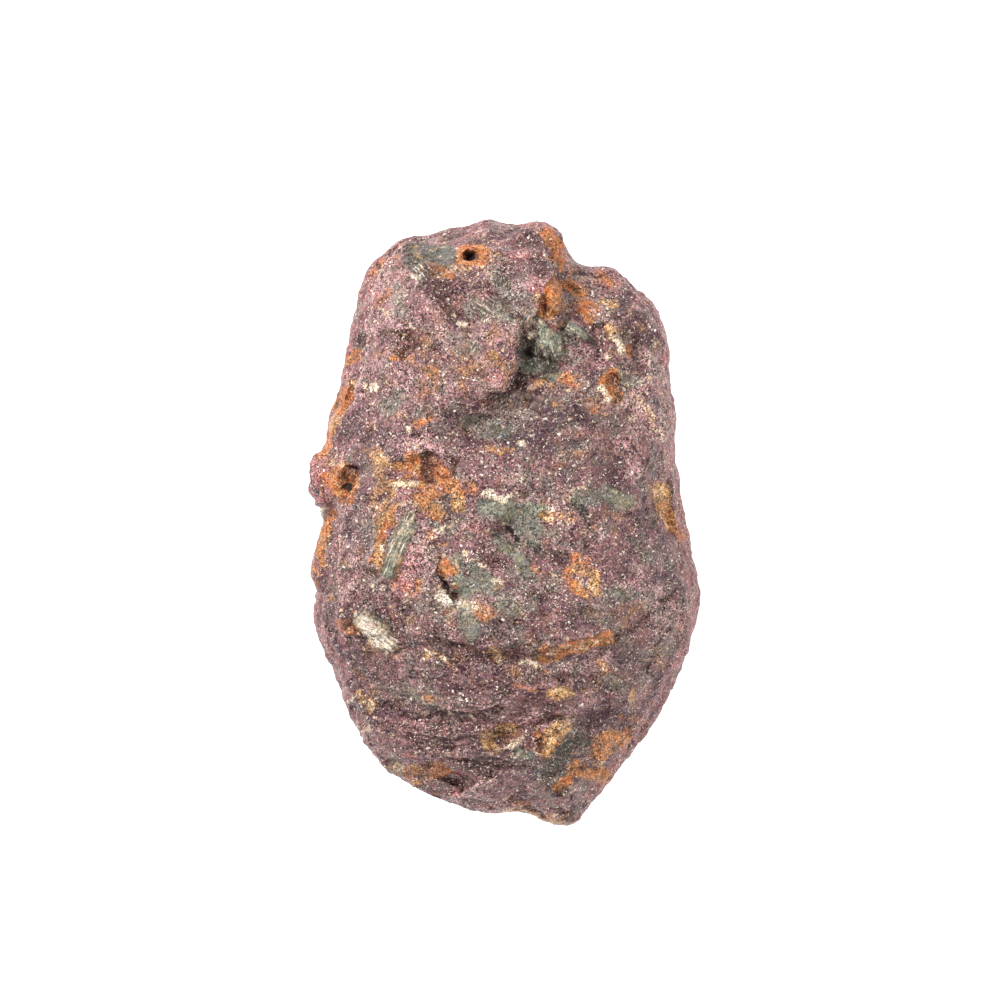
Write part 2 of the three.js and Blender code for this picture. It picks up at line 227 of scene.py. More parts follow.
def cells(spacing, seed, stretch=(1, 1, 1), where=points):
    """How far inside its grain a point is: 0 on the joint between two grains, about 1 in the middle."""
    scaled = where / (np.array(stretch) * spacing) + seed * 11.9
    nearest = np.array([noise.voronoi(Vector(place))[0][:2] for place in scaled])
    return np.clip(nearest[:, 1] - nearest[:, 0], 0, 1)


warp = np.stack([clouds(0.62, seed) for seed in (1, 2, 3)], axis=1)
fine_warp = np.stack([clouds(0.2, seed) for seed in (4, 5, 6)], axis=1)
broad = clouds(3.1, 7)
middling = clouds(1.25, 8)
print("the broad cloud runs from", round(broad.min(), 2), "to", round(broad.max(), 2))

# %% [markdown]
# ## Grain and parting
# The stone broke along its grains, so its skin is lumps with creases between them, at several sizes. In
# the lower half the ruby also parted in thin sheets, like a stack of cards that was pushed askew. A
# sawtooth does that: the height grows slowly up one sheet and drops at its edge. Cracks run wherever a
# cloud pattern passes through zero, which gives long thin curves that never cross themselves.

# %% Lumps and grit
LUMP_HEIGHT = 0.17  # mm
GRIT_HEIGHT = 0.09
lumps = cells(1.25, 1, (1.6, 1, 1))
grit = cells(0.5, 2, (1.3, 1, 1))
height = LUMP_HEIGHT * (np.minimum(lumps * 1.7, 1) - 0.6) + GRIT_HEIGHT * (grit - 0.35)
height += 0.03 * clouds(0.21, 9) + 0.04 * clouds(0.4, 10)
print("lumps and grit run from", round(height.min(), 2), "to", round(height.max(), 2), "mm")

# %% Sheets and cracks
SHEETS = [
    # spacing from one sheet's edge to the next in mm, height in mm
    (0.78, 0.13),
    (0.34, 0.06),
]
TALLEST_SHEET = SHEETS[0][1]
CRACK_DEPTH = 0.1  # mm

sheet_where = ramp(-y + 1.5 * broad, 1.5, 6.0) * (0.4 + 0.6 * ramp(middling, -0.5, 0.4))
sheet_edge = np.zeros(len(points))
for spacing, tooth_height in SHEETS:
    count = (y - 0.1 * x + 0.25 * z + 0.55 * broad + 0.3 * middling + 0.07 * warp[:, 0]) / spacing
    share = count - np.floor(count)
    tooth = (1 - share) * ramp(share, 0, 0.2) - 0.4
    height += tooth_height * sheet_where * tooth
    sheet_edge = np.maximum(
        sheet_edge, (1 - ramp(share, 0.05, 0.3)) * sheet_where * tooth_height / TALLEST_SHEET)

crack_cloud = clouds(1.7, 11, (1.7, 1, 1)) + 0.25 * clouds(0.5, 12)
crack = (1 - ramp(np.abs(crack_cloud), 0.015, 0.09)) * ramp(clouds(2.3, 13), -0.1, 0.3)
height -= CRACK_DEPTH * crack
print("the whole relief runs from", round(height.min(), 2), "to", round(height.max(), 2), "mm")

# %% [markdown]
# ## The minerals, one by one
# Each stain, crystal, crack and pit is one stroke: a name, the places that it passes through, its half
# width, how strong it is (1 is solid, 0.5 is scattered grains) and, for some, how far it stands out of the
# stone or sinks into it. All lengths are in millimetres. One noise texture for each mineral would be less
# work, but it could not put the crystals where they are. A painter blocks in a stone like this, and each
# line can be found on the finished piece and changed. Noise breaks up every outline later.
#
# Rust comes first. Iron in the stone rusts wherever water can stand: in pits, in cracks and along the
# foot of a ledge. So its strokes lie in and round the hollows.

# %% Rust, the orange stains
RUST = [
    # name, line, half width, strength, and for some how far it stands out
    ("rim of the square pit",
     [(-2.2, 13.0), (-2.2, 13.6), (-1.1, 13.65), (-1.05, 12.95), (-2.0, 12.9)], 0.22, 1.25),
    ("red spot left of the pit", [(-3.6, 12.5), (-2.75, 12.35)], 0.28, 1.15, 0.03),
    ("specks by the upper left corner", [(-6.1, 13.0), (-5.4, 13.2)], 0.24, 0.75),
    ("specks on the corner strip", [(-6.75, 12.4), (-6.4, 12.9)], 0.22, 0.7),
    ("speckle on the plate", [(-6.2, 10.9), (-5.85, 11.3)], 0.36, 0.7, -0.03),
    ("foot of the brown hollow", [(-5.6, 8.15), (-4.5, 8.1)], 0.16, 0.85),
    ("left strip, upper", [(-7.5, 8.5), (-7.85, 7.9)], 0.26, 0.9),
    ("left strip, pocket", [(-7.95, 6.45), (-8.3, 5.7)], 0.44, 1.0, -0.08),
    ("middle of the plate", [(-3.5, 7.4), (-3.9, 6.6)], 0.5, 0.5),
    ("crown lobe", [(2.15, 14.4), (2.75, 13.6), (2.75, 13.25)], 0.42, 0.95),
    ("under the crown lobe", [(2.6, 13.1), (2.95, 12.8)], 0.3, 0.85),
    ("orange slab", [(2.55, 11.8), (2.2, 10.6)], 0.44, 1.15),
    ("shoulder, brown spot", [(3.3, 11.8), (3.7, 11.5)], 0.4, 0.85, -0.04),
    ("shoulder, bright spot", [(3.95, 10.9), (4.15, 10.15)], 0.3, 1.1),
    ("shoulder, scattered", [(3.0, 10.75), (4.4, 10.6)], 0.42, 0.6),
    ("top of the shoulder", [(4.7, 12.3), (5.15, 12.0)], 0.28, 0.8),
    ("foot of the pale slab", [(6.0, 8.6), (6.2, 8.3)], 0.22, 0.9),
    ("under the green crystal", [(3.0, 7.2), (3.4, 6.8)], 0.34, 0.85),
    ("right pit", [(5.35, 7.3), (5.0, 6.9), (5.5, 6.2)], 0.4, 1.1, -0.05),
    ("red streak", [(3.9, 6.3), (5.0, 5.4)], 0.28, 0.6),
    ("red spot above the field", [(2.3, 5.9)], 0.24, 0.8),
    ("spot at the head of the field", [(4.4, 5.5)], 0.27, 0.6),
    ("left rim", [(-8.7, 4.4), (-9.05, 3.5)], 0.32, 0.8),
    ("bowl of the round pit", [(-8.5, 1.9), (-8.2, 1.35), (-7.8, 1.2)], 0.36, 1.2),
    ("cavity, right lobe", [(-3.45, 2.6), (-3.1, 2.3)], 0.42, 1.25, 0.05),
    ("cavity, trough", [(-5.3, 2.65), (-4.8, 2.55)], 0.34, 0.75, -0.05),
    ("beside the cavity", [(-4.0, 1.5), (-2.7, 1.8), (-1.7, 1.7)], 0.42, 0.72),
    ("below the cavity", [(-4.1, 1.2), (-3.5, 0.4)], 0.45, 0.66),
    ("seam, upper", [(-5.6, 0.7), (-6.0, -0.5), (-6.35, -1.3)], 0.17, 1.0, 0.03),
    ("seam, lower", [(-6.4, -1.3), (-6.6, -1.95)], 0.15, 0.7, 0.02),
    ("left rim, strip", [(-8.7, 0.4), (-9.1, -0.5)], 0.26, 0.85),
    ("left rim, bulge", [(-9.35, -1.1), (-9.15, -1.9)], 0.34, 0.75),
    ("left rim, low", [(-9.5, -2.3), (-9.45, -3.0)], 0.28, 0.55),
    ("rusty pit", [(-3.1, -2.0), (-2.75, -2.5)], 0.26, 1.1),
    ("beside the white crystal", [(-2.4, -3.1)], 0.14, 0.9),
    ("salmon spot", [(-1.4, -4.3), (-0.85, -4.6)], 0.36, 0.8),
    ("foot of the salmon lobe", [(-5.2, -3.75), (-4.4, -3.7)], 0.14, 0.65),
    ("red patch by the striated crystal", [(-8.2, -5.0), (-7.5, -5.3)], 0.42, 0.62),
    ("ring, top", [(3.4, -1.75), (4.0, -1.85)], 0.32, 0.7),
    ("ring, left", [(3.05, -2.4), (3.3, -3.15), (3.7, -3.4)], 0.36, 0.75),
    ("stained flank, end", [(8.55, -0.2), (8.9, -0.8)], 0.27, 0.75),
    ("stained flank", [(8.0, 0.9), (8.35, -0.1)], 0.34, 0.72),
    ("ledge streak", [(1.9, -6.6), (3.2, -6.2), (5.1, -5.7)], 0.34, 1.15, 0.06),
    ("under the ledge", [(0.5, -8.15), (1.4, -8.25)], 0.16, 0.8),
    ("lower speckle", [(-3.75, -8.7)], 0.32, 0.5),
    ("crack beside the tan block", [(1.55, -10.4), (1.7, -11.1)], 0.11, 1.2, -0.14),
    ("foot, upper patch", [(4.7, -11.35), (5.3, -10.75), (5.95, -10.8)], 0.56, 0.75),
    ("foot, lower patch", [(3.4, -12.2), (4.2, -12.55), (5.1, -12.65)], 0.4, 0.75),
    ("foot, tail", [(2.6, -13.2), (3.2, -12.8)], 0.26, 1.0),
    ("lower left patch", [(-4.8, -12.4), (-3.2, -12.4)], 0.42, 0.75),
    ("lower left, red", [(-3.5, -12.4), (-3.0, -12.5)], 0.22, 1.0),
    ("salmon edge, right", [(5.9, -9.8), (6.9, -9.9)], 0.34, 0.5),
    ("seam of the lip", [(0.2, -13.9), (1.4, -14.2)], 0.13, 0.6, -0.05),
    ("under the plate's left end", [(-4.4, 4.8), (-3.7, 5.1)], 0.17, 0.8),
    ("beside the teal patch", [(1.4, -2.3), (2.1, -2.55)], 0.15, 0.75),
    ("wall of the round pit", [(-8.2, 2.5), (-7.75, 2.1), (-8.3, 1.6)], 0.5, 1.15),
    ("left of the round pit", [(-9.0, 2.2), (-8.5, 1.8)], 0.34, 0.8),
    ("cavity, walls", [(-4.6, 2.95), (-4.1, 2.9), (-3.9, 2.4)], 0.5, 1.0),
    ("rim of the salmon lobe", [(-4.25, -2.8), (-4.2, -3.3), (-4.9, -3.8)], 0.15, 0.7),
    ("pink-rust of the striated crystal", [(-7.5, -4.4), (-7.1, -4.7)], 0.2, 0.75),
    ("salmon glow of the lobe", [(-5.4, -3.1), (-4.6, -3.4)], 0.36, 0.42),
    ("left of the rusty pit, low", [(-3.2, -3.2), (-3.0, -3.7)], 0.22, 0.7),
    ("crown, upper rim", [(-0.6, 14.75), (1.1, 14.3)], 0.35, 0.15),
]
print("rust strokes:", len(RUST))

# %% [markdown]
# ## Ochre
# Where less iron was left, the rust thins out to yellow-brown. Ochre strokes lie round the rust and between
# its patches, and most of them are weaker, so that the ruby shows through as it does under a thin film.

# %% Ochre, the yellow-brown stains
OCHRE = [
    ("gold below the square pit", [(-2.7, 12.7), (-1.9, 12.7), (-0.9, 12.7)], 0.34, 0.6),
    ("gold by the teal patch", [(-4.0, 12.75), (-2.7, 12.6)], 0.24, 0.25),
    ("left of the teal patch", [(-4.5, 13.6), (-4.2, 12.7)], 0.28, 0.42),
    ("streak on the plate", [(-4.05, 8.9), (-4.0, 8.2)], 0.2, 0.6),
    ("tongue", [(-0.65, 8.3), (-0.25, 7.5)], 0.4, 0.5),
    ("pocket, top", [(-7.6, 6.9), (-7.7, 6.65)], 0.26, 1.0, 0.05),
    ("olive crown edge", [(0.7, 14.75), (1.9, 14.55)], 0.18, 0.35),
    ("crown lobe, pale", [(2.0, 13.0), (2.4, 12.9)], 0.24, 0.55),
    ("slab, lower end", [(2.35, 10.7), (2.25, 10.4)], 0.32, 1.0),
    ("left of the slab", [(1.75, 11.1), (1.7, 10.5)], 0.25, 0.85),
    ("specks of the shoulder", [(4.9, 11.0), (5.45, 10.8)], 0.27, 0.8),
    ("pale slab, head", [(5.05, 9.8), (5.35, 9.4)], 0.28, 0.95),
    ("golden edge", [(6.7, 10.0), (6.8, 9.6)], 0.26, 0.5),
    ("under the green crystal", [(1.7, 7.0), (2.4, 6.7)], 0.28, 0.55),
    ("left rim, top", [(-8.5, 5.2), (-8.7, 4.5)], 0.3, 0.65),
    ("blot", [(-6.3, 3.3), (-5.8, 2.9)], 0.36, 0.7),
    ("beside the trough", [(-6.5, 2.9), (-6.0, 2.6), (-6.2, 1.8)], 0.34, 0.6),
    ("tan lumps", [(-5.6, 1.95), (-4.7, 1.9), (-4.1, 1.85)], 0.24, 0.85, 0.06),
    ("seam, head", [(-5.9, 1.7), (-6.2, 0.9), (-5.9, 0.2)], 0.5, 0.62),
    ("field of gold", [(-4.1, 1.1), (-3.3, 0.6)], 0.5, 0.75),
    ("seam of the long crystal", [(-5.2, -1.6), (-5.25, -2.6)], 0.14, 0.9),
    ("left rim, strip", [(-8.9, 0.0), (-9.2, -1.3)], 0.22, 0.75),
    ("left rim, spot", [(-8.85, -3.8)], 0.25, 0.6),
    ("ring, right", [(4.4, -2.6), (4.45, -3.35)], 0.32, 0.85),
    ("ring, lower left", [(3.5, -3.1), (4.0, -3.55)], 0.26, 0.9),
    ("cream gold", [(1.9, 0.35), (3.3, 0.15)], 0.3, 0.66),
    ("brown row", [(-0.8, 3.65), (0.25, 3.5)], 0.17, 0.75),
    ("brown row, right", [(1.3, 2.8), (2.3, 2.45)], 0.15, 0.4),
    ("small spot", [(-2.3, 4.75), (-1.9, 4.5)], 0.16, 0.3),
    ("flank streak", [(7.0, 5.6), (7.35, 4.8)], 0.2, 0.75, 0.05),
    ("stained flank", [(7.8, 1.5), (8.25, 0.0)], 0.44, 0.95),
    ("ledge streak, lower", [(2.0, -6.6), (3.8, -6.1), (5.2, -5.75)], 0.24, 1.3, 0.04),
    ("ledge, speckle", [(-3.9, -6.5), (-3.1, -6.7)], 0.2, 0.7),
    ("ledge, gold", [(-0.6, -6.3), (-0.3, -6.8)], 0.24, 0.8),
    ("under the ledge, right", [(4.65, -6.95), (5.0, -7.3)], 0.26, 0.75),
    ("tan spot", [(2.45, -8.4), (3.1, -8.3)], 0.36, 0.9, 0.04),
    ("yellow spot", [(6.3, -8.5), (6.4, -8.9)], 0.24, 0.7),
    ("lower left, tan", [(-7.3, -8.5), (-6.6, -9.2)], 0.32, 0.8, 0.04),
    ("pale hollow, tan", [(-0.9, -10.6), (0.4, -10.2)], 0.36, 0.8),
    ("pale hollow, left", [(-0.8, -10.8), (-0.6, -11.3)], 0.28, 0.95),
    ("tan block", [(2.85, -10.0), (2.05, -11.1)], 0.52, 0.85),
    ("foot, between the patches", [(4.4, -11.9), (5.4, -11.4)], 0.3, 0.6),
    ("lower left rim", [(-5.3, -12.6), (-4.6, -13.0)], 0.3, 0.4),
    ("rim of the foot", [(0.2, -14.35), (1.6, -14.75), (2.8, -15.0)], 0.26, 0.7),
    ("left of the foot", [(-4.4, -13.4), (-2.6, -14.0)], 0.2, 0.3),
    ("middle left", [(-2.2, -5.3), (-1.6, -5.0)], 0.4, 0.2),
    ("right flank, low", [(7.6, -6.3), (7.9, -7.2)], 0.3, 0.45),
    ("ring, middle", [(3.4, -2.2), (4.1, -2.4)], 0.4, 0.7),
    ("edge of the rusty pit", [(-3.2, -1.6), (-2.4, -1.75), (-2.45, -2.6)], 0.18, 0.6),
    ("rim of the trough", [(-5.5, 2.75), (-4.7, 2.75)], 0.12, 0.9, 0.04),
    ("field of gold, right", [(-2.6, 1.9), (-2.3, 0.9)], 0.4, 0.85),
    ("tan streaks by the lens", [(-3.8, -0.75), (-3.0, -1.0)], 0.26, 0.55),
    ("foot, upper patch", [(4.7, -11.35), (5.3, -10.8), (5.9, -10.8)], 0.5, 0.85),
    ("foot, lower patch", [(3.5, -12.2), (4.2, -12.55), (5.0, -12.6)], 0.38, 0.85),
    ("tan strip by the seam", [(-6.2, 0.2), (-6.3, -2.2)], 0.3, 0.6),
    ("gold right of the pit", [(-0.9, 13.7), (-0.5, 13.1)], 0.3, 0.5),
    ("gold edge of the striated crystal", [(-6.9, -5.9), (-6.3, -6.4)], 0.13, 0.95),
    ("tan arc", [(-6.3, 2.5), (-5.7, 1.7), (-5.6, 0.9), (-6.0, 0.2)], 0.34, 0.6),
    ("flank streak, gold", [(6.7, 6.2), (7.3, 5.2)], 0.26, 0.45),
]
print("ochre strokes:", len(OCHRE))

# %% [markdown]
# ## Cream feldspar and painted glints
# Feldspar gives the small bright marks, and on broken edges and crystal faces some of them are painted
# glints and highlights. The eye finds them first, so there are many of them, they are small, and most
# stand out of the stone by a few hundredths of a millimetre.

# %% Cream feldspar and painted glints
CREAM_AND_GLINTS = [
    ("pink-white chip", [(-4.5, 12.25), (-4.3, 12.1)], 0.17, 1.3, 0.1),
    ("pale speckle", [(-6.2, 10.45), (-5.7, 10.3)], 0.24, 0.62),
    ("tan chip", [(-4.75, 9.9), (-4.6, 9.55)], 0.13, 0.75, 0.08),
    ("cream spot", [(-6.85, 6.7), (-6.45, 6.65)], 0.23, 0.95, 0.03),
    ("fleck, upper", [(-2.3, 9.85), (-2.0, 9.75)], 0.14, 1.2, 0.05),
    ("fleck, thin", [(-1.2, 9.95), (-0.85, 9.85)], 0.08, 1.1, 0.05),
    ("edge line of the plate", [(-5.95, 12.7), (-6.45, 11.9), (-6.75, 11.4)], 0.07, 0.95, 0.06),
    ("edge line, middle", [(-6.75, 11.3), (-6.7, 10.4), (-6.8, 9.7)], 0.06, 0.5, 0.05),
    ("edge line, lower", [(-7.1, 8.5), (-7.3, 7.5), (-7.5, 6.1)], 0.05, 0.55, 0.04),
    ("glints of the green crystal", [(1.4, 10.25), (1.1, 9.6), (1.0, 9.1)], 0.13, 0.8),
    ("pale slab", [(5.4, 9.2), (5.7, 8.4)], 0.26, 0.85, 0.1),
    ("fleck by the slab", [(5.1, 8.15)], 0.15, 1.1, 0.06),
    ("fleck in the green", [(2.75, 8.6)], 0.13, 1.2, 0.05),
    ("cream slab", [(4.75, 6.65), (5.15, 6.0)], 0.18, 0.9, 0.08),
    ("right flank spot", [(7.6, 9.05), (7.65, 8.75)], 0.3, 0.45),
    ("flank streak, upper", [(6.6, 6.3), (7.2, 5.4), (7.4, 4.6)], 0.26, 0.55, 0.07),
    ("flank streak, lower", [(7.45, 4.8), (7.9, 4.1)], 0.16, 0.8, 0.07),
    ("flank thread", [(7.95, 3.6), (8.0, 1.7)], 0.07, 0.5, 0.03),
    ("above the round pit", [(-8.6, 2.95), (-8.1, 2.9)], 0.22, 0.5),
    ("left rim, pale", [(-9.3, 0.7), (-9.25, 0.2)], 0.2, 0.55),
    ("white chip", [(-4.9, 4.65), (-4.8, 4.35)], 0.11, 1.1, 0.05),
    ("fleck of the field", [(0.68, 3.88)], 0.18, 1.2, 0.07),
    ("fleck of the field, low", [(0.85, 2.1)], 0.14, 1.1, 0.05),
    ("fleck, tiny", [(3.85, -0.45)], 0.1, 1.1, 0.04),
    ("row of flecks", [(1.5, 2.9), (2.3, 2.5)], 0.12, 0.4, 0.03),
    ("white edge",
     [(-1.05, 1.42), (-0.5, 1.35), (-0.05, 0.98), (0.1, 1.22), (0.55, 1.36)], 0.15, 1.15, 0.08),
    ("white edge, right", [(-0.7, 1.4), (-0.25, 1.15)], 0.17, 1.1, 0.05),
    ("cream of the teal patch", [(2.1, 0.75), (2.3, 0.65)], 0.15, 1.1),
    ("rim of the grey patch", [(3.3, 1.65), (3.95, 1.75)], 0.17, 0.6, 0.04),
    ("gold flecks", [(2.3, 0.15), (3.1, -0.1)], 0.2, 0.55),
    ("long crystal", [(-4.7, 0.3), (-5.05, -0.6), (-5.45, -1.7)], 0.45, 0.6, 0.04),
    ("flecks on the seam", [(-6.1, -1.15), (-6.0, -1.35)], 0.1, 1.0, 0.04),
    ("small green-cream", [(-3.4, -0.35), (-2.8, -0.2)], 0.22, 0.85, 0.03),
    ("white line", [(-1.8, -1.95), (-1.2, -2.1), (-0.8, -2.35)], 0.09, 0.95, 0.04),
    ("white crystal", [(-3.0, -3.65), (-2.7, -3.95)], 0.42, 1.7, 0.06),
    ("white crystal, small", [(-2.2, -3.75)], 0.18, 1.5, 0.06),
    ("yellow-green", [(-2.3, -4.0), (-1.5, -4.2)], 0.24, 0.75),
    ("flecks of the lobe", [(-5.0, -3.95), (-4.8, -3.9)], 0.1, 0.8, 0.03),
    ("striated crystal", [(-7.15, -4.75), (-6.6, -5.5), (-5.8, -6.15)], 0.42, 1.25, 0.04),
    ("ledge flecks, left", [(-3.9, -6.4), (-3.0, -6.75)], 0.13, 0.8, 0.03),
    ("ledge flecks, middle", [(-0.5, -6.4), (-0.3, -6.9)], 0.13, 0.7, 0.03),
    ("ledge flecks, right", [(0.7, -6.9), (1.7, -7.1)], 0.13, 0.75, 0.03),
    ("fleck under the ledge", [(4.95, -7.35)], 0.14, 1.1, 0.05),
    ("white nick", [(2.6, -7.85)], 0.12, 1.0, 0.03),
    ("lower left, cream", [(-7.3, -8.6), (-6.5, -9.3)], 0.22, 0.7, 0.03),
    ("lower left chip", [(-7.85, -9.0), (-7.5, -8.8)], 0.12, 1.1, 0.05),
    ("lower left, pale", [(-7.1, -10.2), (-6.3, -10.5)], 0.27, 0.5),
    ("second ledge, edge", [(-2.8, -9.55), (-1.8, -9.6), (-1.5, -9.85)], 0.09, 0.85, 0.04),
    ("blue-white", [(-0.3, -11.35), (0.75, -10.75)], 0.2, 0.72, 0.04),
    ("lower left rim", [(-5.6, -11.9), (-5.2, -12.2)], 0.3, 0.5),
    ("lip line", [(-2.3, -13.7), (-1.4, -12.85), (-0.1, -12.45)], 0.06, 0.66, 0.05),
    ("cream of the foot", [(-0.2, -14.4)], 0.18, 0.8),
    ("rim of the foot", [(0.6, -14.6), (2.6, -15.0)], 0.2, 0.4),
    ("glint of the foot", [(3.5, -13.3)], 0.13, 0.8),
    ("crown speckle", [(-1.5, 14.4), (-0.4, 14.0)], 0.4, 0.36),
    ("plate, right speckle", [(-0.3, 10.2), (0.6, 10.6)], 0.4, 0.36),
    ("edge of the green crystal", [(1.95, 9.95), (2.35, 9.4), (2.5, 8.9)], 0.07, 0.95, 0.03),
    ("plates of the green crystal", [(1.4, 9.9), (1.8, 8.6)], 0.14, 0.62),
    ("striated crystal, threads", [(-6.7, -4.7), (-5.7, -5.6)], 0.3, 0.62),
    ("dots below the white line", [(-0.65, -2.85), (-0.1, -3.0)], 0.13, 0.9, 0.03),
    ("blob above the pit", [(-1.95, -1.45), (-1.8, -1.5)], 0.13, 1.1, 0.04),
    ("small blob", [(-1.15, -1.35)], 0.09, 1.1, 0.04),
    ("salmon spot", [(-1.3, -4.25), (-0.9, -4.6)], 0.26, 0.52),
    ("tan lumps", [(-5.4, 1.75), (-4.3, 1.95)], 0.24, 0.75, 0.03),
    ("flecks of the blot", [(-6.2, 3.4), (-5.8, 3.1)], 0.2, 0.5, 0.02),
    ("pale edge of the rusty pit", [(-3.3, -1.6), (-2.5, -1.6), (-2.3, -2.2)], 0.12, 0.6, 0.03),
    ("glow over the salmon spot", [(-1.4, -4.2), (-0.9, -4.5)], 0.3, 0.3),
    ("pale lumps of the gold field", [(-5.2, 1.3), (-4.7, 0.9)], 0.3, 0.5, 0.03),
    ("pale lump, right", [(-4.6, 0.1), (-4.9, -0.1)], 0.24, 0.7),
    ("gold edge of the teal patch", [(-4.1, 12.75), (-3.0, 12.85)], 0.11, 0.35, 0.02),
    ("glints of the teal patch", [(-4.0, 13.4), (-3.0, 13.75)], 0.12, 0.5, 0.02),
    ("pale ground below the pit", [(-2.1, 12.35), (-1.0, 12.4)], 0.4, 0.42),
    ("pale flank", [(6.2, 7.3), (6.3, 5.0)], 0.5, 0.4),
    ("edge of the flank", [(7.9, 7.9), (7.9, 4.2)], 0.3, 0.42),
    ("glow of the ledge streak", [(2.3, -6.4), (4.8, -5.8)], 0.2, 0.6, 0.02),
    ("thread of the splinter", [(3.1, 9.85), (3.85, 9.15)], 0.1, 0.7),
    ("speckle below the square pit", [(-2.3, 12.65), (-1.0, 12.75)], 0.3, 0.42),
    ("tan plates", [(-5.7, 2.0), (-5.0, 1.4), (-5.3, 0.9)], 0.3, 0.35, 0.03),
    ("rim above the cavity", [(-5.0, 3.75), (-4.3, 3.8)], 0.3, 0.4),
    ("top of the green crystal", [(1.35, 9.9), (1.9, 9.95)], 0.2, 0.6),
]
print("cream strokes:", len(CREAM_AND_GLINTS))

# %% [markdown]
# ## The greens
# Rubies of this kind grow in a green rock, and scraps of it stay on them: mica in thin grey-green smears,
# and a few real crystals. A second, darker green is painted shade on their shadow sides, and it is also
# the colour of the deepest patches.

# %% Grey-green mica
GREEN = [
    ("grey-green strip of the corner", [(-7.3, 10.9), (-7.6, 10.2)], 0.3, 0.5),
    ("plate, right", [(-1.6, 10.55), (0.1, 10.4)], 0.6, 0.6),
    ("plate, upper right", [(-0.5, 12.4), (0.0, 11.4)], 0.34, 0.5),
    ("plate, lower left", [(-5.9, 5.7), (-5.3, 6.2)], 0.52, 0.62),
    ("plate, left", [(-5.4, 11.6), (-5.2, 10.3)], 0.42, 0.62),
    ("plate, centre", [(-2.6, 8.9), (-1.6, 8.5)], 0.6, 0.5),
    ("green crystal", [(1.5, 9.9), (2.05, 8.3)], 0.6, 1.15),
    ("green crystal, pale face", [(1.85, 9.7), (2.2, 8.6)], 0.38, 1.45),
    ("green splinter", [(3.15, 9.8), (3.9, 9.2)], 0.2, 1.7, 0.06),
    ("below the crystal", [(1.2, 7.9), (2.4, 7.4)], 0.45, 0.85),
    ("right of the pit", [(5.8, 7.2), (6.4, 6.9)], 0.32, 0.7),
    ("right flank", [(7.3, 8.3), (7.5, 7.4)], 0.36, 0.52),
    ("right flank, streak", [(8.0, 5.1), (8.2, 4.5)], 0.22, 0.6),
    ("striated band", [(-1.8, 4.9), (0.0, 4.4)], 0.55, 0.7),
    ("left rim", [(-9.3, 0.7), (-9.2, 0.1)], 0.24, 0.7),
    ("long crystal", [(-4.8, 0.1), (-5.2, -1.0), (-5.75, -2.3)], 0.42, 1.2, 0.03),
    ("small crystal", [(-3.3, -0.2), (-2.6, -0.35)], 0.24, 0.7, 0.03),
    ("teal patch, left", [(-0.8, 0.8), (0.2, 0.6)], 0.62, 1.1),
    ("teal patch, right", [(0.6, 0.3), (1.3, -0.5)], 0.9, 0.8),
    ("teal patch, tail", [(-0.2, -0.9), (0.9, -1.9), (1.0, -2.4)], 0.4, 0.9),
    ("grey patch", [(3.7, 1.2), (5.1, 1.4), (6.0, 1.0)], 0.5, 0.78),
    ("olive field", [(6.6, -0.9), (7.1, -1.7)], 0.42, 0.5),
    ("olive round the pit", [(-2.4, -1.9), (-2.2, -3.0), (-1.9, -3.5)], 0.42, 0.95),
    ("grey-green of the middle", [(-1.7, -2.5), (-0.8, -3.1)], 0.62, 0.85),
    ("right of the salmon spot", [(-0.35, -4.1), (0.5, -4.4)], 0.36, 0.7),
    ("green head of the striated crystal", [(-6.7, -4.7), (-5.8, -5.4)], 0.3, 0.9),
    ("right field", [(5.2, -3.5), (6.1, -3.7)], 0.28, 0.62),
    ("below the orange ring", [(3.6, -4.2), (4.5, -4.6)], 0.5, 0.42),
    ("lower right", [(5.2, -7.8), (6.0, -8.3)], 0.4, 0.58),
    ("lower left", [(-5.2, -8.2), (-4.5, -8.5)], 0.38, 0.52),
    ("lower left, pale", [(-3.6, -9.2)], 0.38, 0.62),
    ("below the pale hollow", [(0.7, -11.3), (1.3, -11.5)], 0.28, 0.95),
    ("by the tan block", [(3.1, -10.05), (3.3, -10.4)], 0.26, 0.65),
    ("lower left rim", [(-5.6, -11.9), (-5.1, -12.3)], 0.36, 0.6),
    ("grey-green of the foot", [(1.7, -12.5), (2.3, -12.7)], 0.4, 0.6),
    ("mid left", [(-0.9, -5.2), (0.2, -5.6)], 0.5, 0.35),
    ("olive by the teal patch of the crown", [(-4.6, 13.7), (-4.3, 13.3)], 0.3, 0.7),
    ("yellow-green below the white crystal", [(-2.2, -4.0), (-1.6, -4.3)], 0.34, 1.2),
    ("teal below the salmon spot", [(-1.9, -4.6), (-1.6, -5.5)], 0.48, 0.85),
    ("teal patch, pale corner", [(1.1, 0.65), (1.85, 0.55)], 0.32, 1.5),
    ("haze right of the teal patch", [(2.0, -0.5), (2.9, -0.9)], 0.5, 0.5),
    ("green right of the crystal", [(2.7, 9.2), (2.75, 8.4)], 0.36, 1.0),
    ("haze right of the green crystal", [(2.8, 8.5), (3.6, 8.0)], 0.4, 0.55),
    ("bright teal of the crown", [(-3.5, 13.45), (-2.8, 13.6)], 0.2, 0.9),
]
print("green strokes:", len(GREEN))
